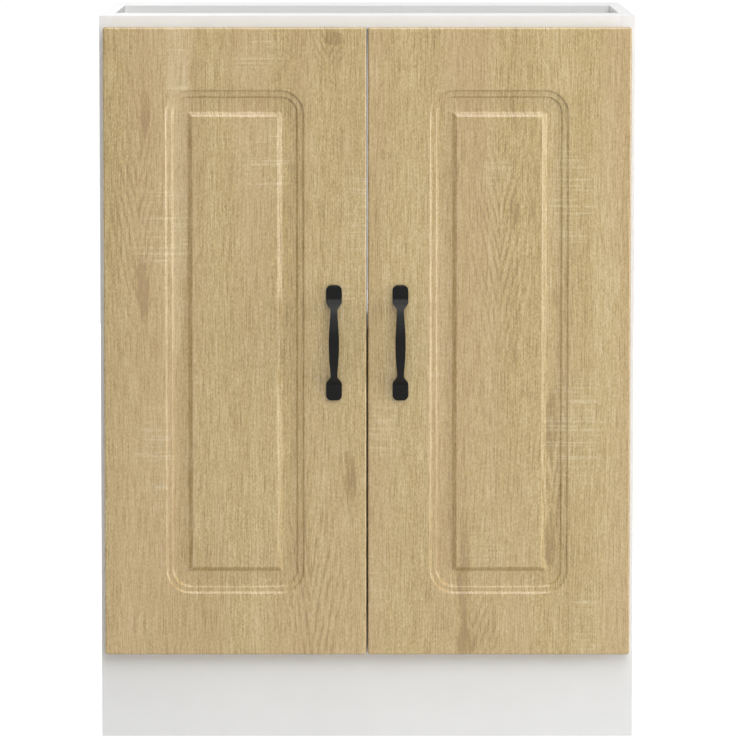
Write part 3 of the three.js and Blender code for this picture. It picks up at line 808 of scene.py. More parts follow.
@dataclass(frozen=True)
class PlatedMetal:
    """Plated steel: metallic, with faint drawing lines and a little mottle in its gloss."""

    name: str
    light: str
    dark: str
    rough: tuple[float, float]
    lines_per_m: float
    line_breaks_per_m: float = 60.0
    mottle_scale: float = 9.0
    grit_per_m: float = 2600.0
    grit_depth: float = 0.004 * MM

    def build(self, effects: SharedEffects) -> bpy.types.Material:
        """Makes the material from the shared groups."""
        finish = Finish(self.name)
        graph = finish.graph
        near = graph.vector("MULTIPLY", finish.place, (self.mottle_scale,) * 3)
        mottle = graph.group(effects.handling, Place=near)
        share = graph.remap(mottle.outputs["Mottle"], *NOISE_BAND)
        per_m = (self.lines_per_m, self.line_breaks_per_m, self.lines_per_m)
        drawn = graph.noise(graph.vector("MULTIPLY", finish.place, per_m), detail=1.0)
        grit = graph.group(effects.grit, Place=finish.place, Per_Metre=self.grit_per_m)
        colour = graph.mix(share, shade(self.dark), shade(self.light))
        rough = graph.remap(graph.math("MULTIPLY_ADD", drawn, 0.6, share), 0.2, 1.3, *self.rough)
        finish.set(Base_Color=colour, Roughness=rough)
        finish.shader.inputs["Metallic"].default_value = 1.0
        finish.bump(graph.math("MULTIPLY_ADD", drawn, 0.5, grit.outputs["Height"]), self.grit_depth)
        return finish.material


@dataclass(frozen=True)
class ChipCore:
    """Raw particle board, as it shows on an edge that no band covers."""

    name: str
    stops: tuple[tuple[float, str], ...]
    chips_per_m: float
    dust: str = "8d7350"
    wander_per_m: float = 160.0
    wander_reach: float = 4 * MM
    upright_share: float = 0.45
    grit_per_m: float = 900.0
    depth: float = 0.15 * MM

    def build(self, effects: SharedEffects) -> bpy.types.Material:
        """Makes the material from a cell pattern of chips."""
        finish = Finish(self.name)
        graph = finish.graph
        wander = graph.noise(finish.place, scale=self.wander_per_m, detail=2.0)
        shift = graph.combine(graph.math("MULTIPLY", wander, self.wander_reach), 0.0, 0.0)
        bent = graph.vector("ADD", finish.place, shift)
        cells = graph.node("ShaderNodeTexVoronoi", feature="F1")
        graph.feed(cells.inputs["Vector"], graph.vector("MULTIPLY", bent, (1.0, 1.0, self.upright_share)))
        graph.feed(cells.inputs["Scale"], self.chips_per_m)
        grit = graph.group(effects.grit, Place=finish.place, Per_Metre=self.grit_per_m)
        tint = graph.node("ShaderNodeSeparateColor")
        graph.feed(tint.inputs[0], cells.outputs["Color"])
        dusty = graph.math("MULTIPLY", grit.outputs["Speckle"], 0.4)
        colour = graph.mix(dusty, graph.ramp(tint.outputs[0], self.stops), shade(self.dust))
        rough = graph.remap(cells.outputs["Distance"], 0.0, 1.0, 0.8, 0.95)
        finish.set(Base_Color=colour, Roughness=rough, Specular_IOR_Level=0.2)
        finish.bump(graph.math("ADD", grit.outputs["Height"], cells.outputs["Distance"]), self.depth)
        return finish.material


@dataclass(frozen=True)
class OakSheet:
    """The light oak print of one door: upright grain with its figures, tone patches and saw marks."""

    name: str
    seed: float
    figures: tuple[Figure, ...]
    patches: tuple[PrintPatch, ...]
    tones: tuple[tuple[float, str], ...] = (
        (0.24, "9b8150"),
        (0.40, "b2985f"),
        (0.50, "bba26c"),
        (0.60, "c4ac78"),
        (0.78, "d2bf93"),
    )
    front_y: float = -216 * MM
    lean: float = 0.3
    sways: tuple[tuple[Streaks, float], ...] = (
        (Streaks(7.0, 1.2, 7.0, 0.0), 16.0 * MM),
        (Streaks(24.0, 4.0, 24.0, 0.0), 8.0 * MM),
        (Streaks(85.0, 24.0, 85.0, 0.0), 1.5 * MM),
    )
    ragged: Streaks = Streaks(55, 30, detail=2.0)
    ragged_reach: float = 12 * MM
    saw_edge: Streaks = Streaks(150, 120, 2.0)
    pale_lines: float = 0.13
    dark_lines: float = -0.3
    fibre_contrast: float = 0.74
    dash_contrast: float = 0.8
    blush: Tint = Tint("c09c79", 0.24)
    heart: Tint = Tint("8f7036", 0.08)
    pore: Tint = Tint("7f6735", 0.26)
    saw: Tint = Tint("e9ddb8", 0.38)
    specular: float = 0.9
    relief: float = 0.03 * MM

    def build(self, effects: SharedEffects) -> bpy.types.Material:
        """Makes the material from the shared groups.

        Args:
            effects: the shared node groups.

        Returns:
            The door's front material.
        """
        finish = Finish(self.name)
        graph = finish.graph
        split = graph.node("ShaderNodeSeparateXYZ")
        graph.feed(split.inputs[0], finish.place)
        behind = graph.math("SUBTRACT", split.outputs["Y"], self.front_y)
        straight = graph.math("MULTIPLY_ADD", behind, self.lean, split.outputs["X"])
        along = split.outputs["Z"]
        across = self._growth(graph, straight, along)
        tone, heart, saw_patch = self._places(graph, effects, straight, across, along)
        grain = graph.group(
            effects.oak_print,
            Across=graph.math("ADD", across, self.seed),
            Straight=graph.math("ADD", straight, self.seed),
            Along=along,
            Saw_Patch=saw_patch,
        ).outputs
        fibre, pores = grain["Fibre"], grain["Pores"]
        rough = graph.math("MULTIPLY_ADD", pores, 0.12, graph.remap(fibre, *NOISE_BAND, 0.27, 0.35))
        colour = self._colour(graph, grain, tone, heart)
        finish.set(Base_Color=colour, Roughness=rough, Specular_IOR_Level=self.specular)
        finish.bump(graph.math("SUBTRACT", fibre, graph.math("MULTIPLY", pores, 0.7)), self.relief)
        return finish.material

    def _growth(self, graph: Graph, straight: Value, along: Value) -> bpy.types.NodeSocket:
        """Place across the growth lines, which wander along the height."""
        across = straight
        for kind, reach in self.sways:
            wander = graph.streaks(straight, along, kind, self.seed)
            across = graph.math("ADD", across, graph.math("MULTIPLY_ADD", wander, reach, -reach / 2))
        return across

    def _places(
        self, graph: Graph, effects: SharedEffects, straight: Value, across: Value, along: Value
    ) -> tuple[Value, Value, Value]:
        """Lays out the figures and the patches.

        Args:
            graph: the material's graph.
            effects: the shared node groups.
            straight: place across the door.
            across: place across the growth lines.
            along: place along them.

        Returns:
            How much lighter the wood is, how brown its hearts are, and where it shows saw marks.
        """
        ragged = graph.streaks(across, along, self.ragged, self.seed)
        wobble = graph.math("MULTIPLY_ADD", ragged, self.ragged_reach, -self.ragged_reach / 2)
        torn = graph.combine(graph.math("ADD", across, wobble), 0.0, along)
        flat = graph.combine(straight, 0.0, along)
        tone, heart, saw_patch = 0.0, 0.0, 0.0
        for figure in self.figures:
            mask = self._mask(graph, effects, flat, figure)
            lines = graph.group(
                effects.growth_lines, Across=across, Along=along, Axis=figure.x * MM, Flare=figure.flare
            ).outputs
            dark = graph.math("MULTIPLY", lines["Dark"], self.dark_lines)
            change = graph.math("MULTIPLY_ADD", lines["Pale"], self.pale_lines, dark)
            tone = graph.math("MULTIPLY_ADD", mask, change, tone)
            if figure.heart:
                heart = graph.math("MULTIPLY_ADD", mask, figure.heart, heart)
        for patch in self.patches:
            mask = self._mask(graph, effects, flat if patch.saw else torn, patch)
            if patch.saw:
                saw_patch = graph.math("MULTIPLY_ADD", mask, patch.saw, saw_patch)
            if patch.tone:
                tone = graph.math("MULTIPLY_ADD", mask, patch.tone, tone)
        edge = graph.remap(graph.streaks(straight, along, self.saw_edge, self.seed), 0.2, 0.6)
        return tone, heart, graph.math("MINIMUM", graph.math("MULTIPLY", saw_patch, edge), 1.0)

    @staticmethod
    def _mask(
        graph: Graph, effects: SharedEffects, place: Value, spot: Union[Figure, PrintPatch]
    ) -> bpy.types.NodeSocket:
        """Soft mask of a figure or a patch."""
        made = graph.group(
            effects.spot,
            Place=place,
            Centre=(spot.x * MM, 0.0, spot.z * MM),
            Half_Size=(spot.half_width * MM, 1.0, spot.half_height * MM),
            Core=spot.core,
        )
        return made.outputs["Mask"]

    def _colour(
        self, graph: Graph, grain: bpy.types.NodeOutputs, tone: Value, heart: Value
    ) -> bpy.types.NodeSocket:
        """Mixes the print's colour from its parts.

        Args:
            graph: the material's graph.
            grain: the parts that the print's group puts out.
            tone: how much lighter the figures and patches make it.
            heart: how brown the figures' hearts make it.

        Returns:
            The colour.
        """
        value = graph.math("ADD", grain["Band"], tone)
        for part, contrast in (("Fibre", self.fibre_contrast), ("Dashes", self.dash_contrast)):
            value = graph.math("MULTIPLY_ADD", graph.math("SUBTRACT", grain[part], 0.5), contrast, value)
        blushed = graph.remap(grain["Blush"], 0.4, 0.66, 0.0, self.blush.share)
        browned = graph.math("MULTIPLY", heart, graph.remap(grain["Band"], 0.62, 0.42), clamp=True)
        layers = (
            (blushed, self.blush),
            (graph.math("MULTIPLY", grain["Rings"], self.heart.share), self.heart),
            (browned, self.heart),
            (graph.math("MULTIPLY", grain["Pores"], self.pore.share), self.pore),
            (graph.math("MULTIPLY", grain["Saw"], self.saw.share), self.saw),
        )
        colour = graph.ramp(value, self.tones)
        for share, tint in layers:
            colour = graph.mix(share, colour, shade(tint.code))
        return colour


OAK_SHEETS = {
    Side.LEFT: OakSheet(
        "oak_foil_left",
        0.37,
        figures=(
            Figure(-44, 781, 30, 40, 0.55, 0.4),
            Figure(-258, 600, 44, 180, 0.22),
            Figure(-20, 299, 16, 70, 0.2, 0.3),
            Figure(-60, 150, 70, 170, 0.16, 0.1),
        ),
        patches=(
            PrintPatch(-122, 770, 34, 46, saw=0.9),
            PrintPatch(-214, 745, 15, 62, saw=1.0, core=0.8),
            PrintPatch(-228, 575, 44, 72, saw=1.0),
            PrintPatch(-112, 655, 38, 66, saw=0.9),
            PrintPatch(-238, 318, 30, 80, saw=0.9),
            PrintPatch(-10, 590, 22, 85, saw=0.9),
            PrintPatch(-30, 500, 22, 50, saw=0.6),
            PrintPatch(-213.5, 830, 13.5, 420, tone=0.15, core=0.93),
            PrintPatch(-130, 680, 30, 210, tone=0.05),
            PrintPatch(-190, 150, 60, 120, tone=-0.03),
            PrintPatch(-252, 706, 7, 32, tone=-0.26, core=0.7),
            PrintPatch(-253, 510, 8, 46, tone=-0.26, core=0.6),
            PrintPatch(-20, 299, 7, 36, tone=-0.24, core=0.6),
            PrintPatch(-38, 790, 12, 9, tone=-0.24, core=0.6),
        ),
    ),
    Side.RIGHT: OakSheet(
        "oak_foil_right",
        1.61,
        figures=(
            Figure(125, 118, 34, 66, 0.3, 0.6),
            Figure(149, 560, 50, 210, 0.24),
            Figure(207, 300, 20, 150, 0.12),
        ),
        patches=(
            PrintPatch(230, 610, 34, 80, saw=0.9),
            PrintPatch(232, 350, 44, 90, saw=0.9),
            PrintPatch(18, 355, 24, 50, saw=0.8),
            PrintPatch(246, 130, 24, 62, saw=0.9),
            PrintPatch(6, 180, 22, 50, saw=0.7),
            PrintPatch(146, 640, 24, 34, saw=0.6),
            PrintPatch(80, 470, 20, 180, saw=0.3, tone=0.03),
            PrintPatch(132, 210, 34, 50, saw=0.5),
            PrintPatch(270, 600, 26, 300, tone=0.05),
            PrintPatch(70, 500, 24, 300, tone=0.03),
            PrintPatch(206, 357, 8, 50, tone=-0.24, core=0.6),
            PrintPatch(208, 224, 8, 36, tone=-0.22, core=0.6),
            PrintPatch(212, 498, 5, 16, tone=-0.15),
            PrintPatch(114, 180, 9, 92, tone=-0.2, core=0.5),
            PrintPatch(116, 112, 16, 20, tone=-0.22, core=0.5),
        ),
    ),
}


@dataclass
class Finishes:
    """Every finish on the cabinet, made once."""

    effects: SharedEffects
    board: bpy.types.Material = field(init=False)
    # the plinth's coat is a greyer copy of the board's: painted shade for the low front, which gets less
    # light
    plinth: bpy.types.Material = field(init=False)
    core: bpy.types.Material = field(init=False)
    fibreboard: bpy.types.Material = field(init=False)
    hardboard: bpy.types.Material = field(init=False)
    lacquer: bpy.types.Material = field(init=False)
    nickel: bpy.types.Material = field(init=False)
    zinc: bpy.types.Material = field(init=False)
    oak: dict[Side, bpy.types.Material] = field(init=False)

    def __post_init__(self) -> None:
        """Builds the materials."""
        effects = self.effects
        self.board = PlainCoat("white_melamine", "f2f2f2", "f0f0ef", (0.42, 0.52)).build(effects)
        # Greyer copy of the white melamine for the plinth: painted shade, since the low front gets less
        # light than the rail.
        self.plinth = PlainCoat("plinth_melamine_painted_shade", "eeeeed", "ebebea", (0.45, 0.55)).build(effects)
        self.lacquer = PlainCoat(
            "black_lacquer", "0d0c0b", "0a0908", (0.34, 0.44), 0.16, grit_per_m=2400.0, grit_depth=0.03 * MM
        ).build(effects)
        self.core = ChipCore(
            "chipboard_edge", ((0.0, "a98a5f"), (0.35, "c4a679"), (0.7, "d9c096"), (1.0, "8f7048")), 420.0
        ).build(effects)
        self.fibreboard = ChipCore(
            "fibreboard_bore", ((0.0, "9b7b55"), (0.5, "a88861"), (1.0, "b4956d")), 1800.0
        ).build(effects)
        self.hardboard = ChipCore(
            "hardboard_rear", ((0.0, "7a5a3c"), (0.5, "86654a"), (1.0, "927053")), 2600.0
        ).build(effects)
        self.nickel = PlatedMetal("nickel_plate", "cfcdc8", "b4b1ab", (0.16, 0.34), 900.0).build(effects)
        self.zinc = PlatedMetal("zinc_plate", "c6cacd", "a3a8ac", (0.26, 0.46), 600.0).build(effects)
        self.oak = {side: sheet.build(effects) for side, sheet in OAK_SHEETS.items()}


# ---------------------------------------------------------------- screws
@dataclass(frozen=True)
class ScrewHead:
    """The visible end of a screw: its head above the surface, or flush in it, and its drive."""

    radius: float
    height: float
    shank: float
    drive: Drive
    recess: float
    depth: float
    flush: bool = False

    def profile(self, length: float) -> list[tuple[float, float]]:
        """The screw's (radius, height) outline from the drive's plane down to its point.

        Args:
            length: how far the shank runs below the surface.

        Returns:
            The outline, with its first point on the rim of the head.
        """
        r, h, s = self.radius, self.height, self.shank
        if self.flush:
            head = [(r * 0.9, 0.0), (r, -0.12 * h), (r, -0.25 * h), (s, -h)]
        else:
            turns = (0.25, 0.6, 0.95, 1.3, 1.57)
            dome = [(r * (0.5 + 0.5 * math.sin(a)), h * (0.35 + 0.65 * math.cos(a))) for a in turns]
            head = [(r * 0.55, h), *dome, (r, 0.2 * h), (r * 0.96, 0.0), (s, 0.0)]
        return [*head, (s, 1.5 * s - length), (0.0, -length)]


@dataclass(frozen=True)
class Screws:
    """Every screw of the cabinet, set where its CAD node is."""

    finishes: Finishes
    connecting: ScrewHead = ScrewHead(4.8 * MM, 4 * MM, 3.2 * MM, Drive.HEX, 2.1 * MM, 3.2 * MM, flush=True)
    cup: ScrewHead = ScrewHead(3.4 * MM, 1.6 * MM, 1.6 * MM, Drive.CROSS, 1.7 * MM, 1.1 * MM)
    plate: ScrewHead = ScrewHead(3.4 * MM, 1.6 * MM, 1.8 * MM, Drive.CROSS, 1.7 * MM, 1.1 * MM)
    arm: ScrewHead = ScrewHead(3.6 * MM, 1.8 * MM, 2.0 * MM, Drive.CROSS, 1.9 * MM, 1.3 * MM)
    handle: ScrewHead = ScrewHead(4.0 * MM, 2.2 * MM, 2.0 * MM, Drive.CROSS, 2.0 * MM, 1.5 * MM)
    cross_arm: float = 0.27
    recess_taper: float = 0.72
    steps: int = 24

    def build(self) -> None:
        """Makes the screws of both sides."""
        forward = (0, -1, 0)
        for side in Side:
            inward, outward = (side.inward, 0, 0), (-side.inward, 0, 0)
            door = f"door_{side.value}"
            for place in ("front", "rear"):
                self._place(self.connecting, f"connecting_screw_{side.value}_{place}", inward, "carcass")
            for level in Level:
                spot = f"{side.value}_{level.value}"
                self._place(self.handle, f"handle_screw_{spot}", forward, door)
                self._place(self.arm, f"arm_screw_{spot}", outward, "carcass")
                for end in ("high", "low"):
                    self._place(self.cup, f"cup_screw_{spot}_{end}", forward, door)
                    self._place(self.plate, f"plate_screw_{spot}_{end}", outward, "carcass")

    def _place(self, head: ScrewHead, node: str, into: Point, body: str) -> None:
        """Makes one screw in the place of its CAD node.

        Args:
            head: the kind of screw.
            node: the CAD node that it stands for.
            into: the direction that it is driven in.
            body: the body that it rides on.
        """
        extent = Extent.of(node)
        into = Vector(into)
        whole = abs(extent.size.dot(into))
        proud = 0.0 if head.flush else head.height
        foot = extent.centre - into * (whole / 2 - proud)
        work = Workpiece()
        work.turn_profile(head.profile(whole - proud), self.steps)
        self._sink(work, head)
        turn = Vector((0, 0, 1)).rotation_difference(-into).to_matrix().to_4x4()
        work.close_up()
        work.move(Matrix.Translation(foot) @ turn)
        work.deliver(f"{node}_made", body, [self.finishes.zinc], [node], smooth_below=40)

    def _sink(self, work: Workpiece, head: ScrewHead) -> None:
        """Closes the top of the head round the recess of its drive."""
        bm = work.bm
        top = max(v.co.z for v in bm.verts)
        rim = [e for e in bm.edges if len(e.link_faces) == 1]
        if head.drive is Drive.HEX:
            made = bmesh.ops.create_circle(bm, cap_ends=True, segments=6, radius=head.recess)["verts"]
        else:
            made = bmesh.ops.create_grid(bm, x_segments=3, y_segments=3, size=1.0)["verts"]
            for point in made:
                for axis in (0, 1):
                    reach = 1.0 if abs(point.co[axis]) > 0.5 else self.cross_arm
                    point.co[axis] = math.copysign(head.recess * reach, point.co[axis])
            corners = [v.link_faces[0] for v in made if len(v.link_faces) == 1]
            bmesh.ops.delete(bm, geom=corners, context="FACES")
            made = [v for v in made if v.is_valid]
        bmesh.ops.translate(bm, vec=(0, 0, top), verts=made)
        floor = list({f for v in made for f in v.link_faces})
        edges = [e for e in {e for v in made for e in v.link_edges} if len(e.link_faces) == 1]
        bmesh.ops.triangle_fill(bm, use_beauty=True, use_dissolve=False, edges=rim + edges)
        sunk = work.draw_out(floor)
        bmesh.ops.delete(bm, geom=floor, context="FACES_ONLY")
        bmesh.ops.scale(bm, vec=(self.recess_taper, self.recess_taper, 1.0), verts=sunk)
        bmesh.ops.translate(bm, vec=(0, 0, -head.depth), verts=sunk)


# ---------------------------------------------------------------- carcass
@dataclass
class Carcass:
    """The boards: two sides, bottom, two top rails, plinth, and the back panel and shelf between them."""

    finishes: Finishes
    edge_radius: float = 0.45 * MM
    screw_sink: float = 4.3 * MM
    screw_hole: float = 5.1 * MM
    groove_play: float = 0.3 * MM
    pin_radius: float = 2.5 * MM
    pin_rounding: float = 0.7 * MM
    shank_rounding: float = 0.4 * MM
    narrowest_board: float = 20 * MM

    def build(self) -> None:
        """Makes the boards, the back panel and the shelf's pins."""
        for side in Side:
            self._side_panel(side)
            for place in ("front", "rear"):
                self._shelf_pin(side, place)
        for node in ("bottom_panel", "top_rail_front", "top_rail_rear", "shelf", "plinth_board"):
            work = Workpiece()
            work.block(Extent.of(node))
            work.round_edges(self.edge_radius)
            if node in ("bottom_panel", "top_rail_rear"):
                work.cut(self._groove())
            self._set(work, node)
        self._back_panel()

    def _side_panel(self, side: Side) -> None:
        """One side: its outline with the plinth's notch, its groove and its connecting screws' holes."""
        node = f"side_panel_{side.value}"
        extent = Extent.of(node)
        plinth = Extent.of("plinth_board")
        low, high = extent.low, extent.high
        corners = (
            (high.y, low.z),
            (high.y, high.z),
            (low.y, high.z),
            (low.y, plinth.high.z),
            (plinth.high.y, plinth.high.z),
            (plinth.high.y, low.z),
        )
        work = Workpiece()
        points = [work.bm.verts.new((low.x, y, z)) for y, z in corners]
        drawn = work.draw_out([work.bm.faces.new(points)])
        bmesh.ops.translate(work.bm, vec=(extent.size.x, 0, 0), verts=drawn)
        work.close_up()
        outer = low.x if side is Side.LEFT else high.x
        holes = [self._groove(upright=True)]
        for place in ("front", "rear"):
            screw = Extent.of(f"connecting_screw_{side.value}_{place}").centre
            mouth = Vector((outer - side.inward * MM, screw.y, screw.z))
            bottom = mouth + Vector((side.inward * (MM + self.screw_sink), 0, 0))
            hole = Workpiece()
            hole.rod(self.screw_hole, mouth, bottom, segments=28)
            holes.append(hole)
        work.round_edges(self.edge_radius)
        work.cut(*holes)
        self._set(work, node)

    def _groove(self, upright: bool = False) -> Workpiece:
        """Makes the cutter of the back panel's groove.

        Args:
            upright: whether it runs past the ends of a side panel, and not those of a flat board.

        Returns:
            The cutter.
        """
        panel = Extent.of("back_panel")
        ends = Vector((0, 0, panel.size.z)) if upright else Vector((panel.size.x, 0, 0))
        play = Vector((self.groove_play, 0, self.groove_play))
        cutter = Workpiece()
        cutter.block(Extent(panel.low - play - ends, panel.high + play + ends))
        return cutter

    def _shelf_pin(self, side: Side, place: str) -> None:
        """A pin under the shelf: a square head with rounded edges, and a shank in the side panel."""
        node = f"shelf_pin_{side.value}_{place}"
        extent = Extent.of(node)
        panel = Extent.of(f"side_panel_{side.value}")
        face = panel.high.x if side is Side.LEFT else panel.low.x
        tip = extent.low.x if side is Side.LEFT else extent.high.x
        low, high = extent.low.copy(), extent.high.copy()
        if side is Side.LEFT:
            low.x = face
        else:
            high.x = face
        work = Workpiece()
        work.block(Extent(low, high))
        work.round_edges(self.pin_rounding, 3)
        shank = Workpiece()
        end = Vector((tip, extent.centre.y, extent.centre.z))
        shank.rod(self.pin_radius, end, extent.centre, segments=24)
        shank.round_edges(self.shank_rounding, 2, sharper_than=60)
        work.cut(shank, operation="UNION")
        work.deliver(f"{node}_made", "carcass", [self.finishes.zinc], [node], smooth_below=40)

    def _back_panel(self) -> None:
        """The thin back panel, white inside and raw behind."""
        work = Workpiece()
        extent = Extent.of("back_panel")
        work.block(extent)
        work.paint(1, lambda f: f.calc_center_median().y > extent.low.y + ON_PLANE)
        finishes = [self.finishes.board, self.finishes.hardboard]
        work.deliver("back_panel_made", "carcass", finishes, ["back_panel"])

    def _set(self, work: Workpiece, node: str) -> None:
        """Shows the core on a wide board's rear edge and sets the board in place."""
        extent = Extent.of(node)
        wide = extent.size.y > self.narrowest_board
        rear = extent.high.y - ON_PLANE
        work.paint(1, lambda f: wide and f.normal.y > 0.99 and f.calc_center_median().y > rear)
        # The plinth takes the greyer copy of the white coat, which is painted shade.
        coat = self.finishes.plinth if node == "plinth_board" else self.finishes.board
        work.deliver(f"{node}_made", "carcass", [coat, self.finishes.core], [node])


# ---------------------------------------------------------------- doors
@dataclass(frozen=True)
class Contour:
    """One line of the door's front: its inset from the edge, corner radius and depth, in millimetres."""

    inset: float
    radius: float
    depth: float


@dataclass
class Door:
    """A foil-wrapped door with a routed frame and a raised panel, and its backing sheet. Millimetres."""

    side: Side
    finishes: Finishes
    corner_radius: float = 3.0
    edge_radius: float = 2.5
    edge_steps: int = 5
    corner_steps: int = 12
    rout_inset: float = 70.0
    rout_radius: float = 27.0
    cove_inset: float = 78.0
    cove_radius: float = 18.0
    cove_width: float = 2.4
    bevel_inset: float = 94.0
    bevel_radius: float = 2.1
    panel_inset: float = 100.0
    panel_radius: float = 1.5
    smallest_radius: float = 0.5
    rear_rounding: float = 0.25
    backing: float = 0.35
    backing_inset: float = 0.3
    backing_gap: float = 0.01
    cup_edge: float = 5.0
    cup_radius: float = 17.5
    cup_depth: float = 11.8
    section: tuple[tuple[float, float], ...] = (
        (69.0, 0.0),
        (69.4, 0.05),
        (69.75, 0.25),
        (70.1, 0.56),
        (70.8, 1.2),
        (71.35, 2.16),
        (71.65, 2.42),
        (72.1, 2.5),
        (75.6, 2.35),
        (76.3, 2.4),
        (76.8, 2.62),
        (77.15, 2.92),
        (77.9, 3.62),
        (78.45, 4.6),
        (78.75, 4.88),
        (79.2, 4.98),
        (80.2, 5.0),
        (94.0, 5.0),
        (94.5, 4.93),
        (94.95, 4.68),
        (95.35, 4.32),
        (99.1, 0.56),
        (99.4, 0.3),
        (99.75, 0.11),
        (100.15, 0.02),
        (100.6, 0.0),
    )

    def build(self) -> None:
        """Makes the door and its backing sheet."""
        body = f"door_{self.side.value}"
        extent = Extent.of(body)
        board = extent.size.y / MM - self.backing
        contours = [
            Contour(self.rear_rounding, self.corner_radius - self.rear_rounding, board),
            Contour(0.0, self.corner_radius, board - self.rear_rounding),
            *self._rounded_edge(),
            *(Contour(inset, self._corner(inset), depth) for inset, depth in self.section),
        ]
        work = Workpiece()
        work.loft([self._line(extent, contour) for contour in contours], self.corner_steps)
        work.cut(*self._bores(extent))
        work.paint(1, self._bare(extent))
        finishes = [self.finishes.oak[self.side], self.finishes.fibreboard]
        work.deliver(f"{body}_made", body, finishes, [body], smooth_below=62)
        self._backing_sheet(extent, body)

    def _bare(self, extent: Extent) -> Callable[[bmesh.types.BMFace], bool]:
        """Picks the faces that the foil leaves bare: the board's back and the walls of its bores."""
        back = extent.high.y - self.backing * MM - ON_PLANE
        inside = extent.low.y + 2 * self.corner_radius * MM
        reach = extent.size / 2 - Vector((MM, MM, MM))

        def pick(face: bmesh.types.BMFace) -> bool:
            """Whether a face is bare."""
            middle = face.calc_center_median()
            away = middle - extent.centre
            within = abs(away.x) < reach.x and abs(away.z) < reach.z
            return middle.y > back or (middle.y > inside and within)

        return pick

    def _rounded_edge(self) -> list[Contour]:
        """The contours of the front's rounded edge."""
        made = []
        for i in range(self.edge_steps + 1):
            angle = i / self.edge_steps * QUARTER_TURN
            inset = self.edge_radius * (1 - math.cos(angle))
            depth = self.edge_radius * (1 - math.sin(angle))
            made.append(Contour(inset, max(self.corner_radius - inset, self.smallest_radius), depth))
        return made

    def _corner(self, inset: float) -> float:
        """Corner radius of the routed profile at an inset, in millimetres."""
        path = (
            (self.rout_inset, self.rout_radius),
            (self.cove_inset, self.cove_radius),
            (self.cove_inset + self.cove_width, self.cove_radius - self.cove_width),
            (self.bevel_inset, self.bevel_radius),
            (self.panel_inset, self.panel_radius),
        )
        return sampled(path, inset)

    @staticmethod
    def _line(extent: Extent, contour: Contour) -> RoundedLine:
        """One contour of the door, in place."""
        centre = extent.centre.copy()
        centre.y = extent.low.y + contour.depth * MM
        width, height = (extent.size[axis] - 2 * contour.inset * MM for axis in (0, 2))
        return RoundedLine(width, height, contour.radius * MM, centre)

    def _bores(self, extent: Extent) -> list[Workpiece]:
        """The cutters of the two hinge cups' bores."""
        made = []
        for level in Level:
            hinge = Extent.of(f"hinge_cup_{self.side.value}_{level.value}")
            bore = Workpiece()
            x = extent.low.x if self.side is Side.LEFT else extent.high.x
            x += self.side.inward * (self.cup_edge + self.cup_radius) * MM
            mouth = Vector((x, extent.high.y + MM, hinge.centre.z))
            bottom = mouth - Vector((0, (self.cup_depth + 1) * MM, 0))
            bore.rod(self.cup_radius * MM, mouth, bottom, segments=48)
            made.append(bore)
        return made

    def _backing_sheet(self, extent: Extent, body: str) -> None:
        """The white sheet on the door's back."""
        work = Workpiece()
        thickness = extent.size.y / MM
        radius = self.corner_radius - self.backing_inset
        depths = (thickness - self.backing + self.backing_gap, thickness)
        contours = [Contour(self.backing_inset, radius, depth) for depth in depths]
        work.loft([self._line(extent, contour) for contour in contours], self.corner_steps)
        work.cut(*self._bores(extent))
        work.deliver(f"door_backing_{self.side.value}", body, [self.finishes.board])


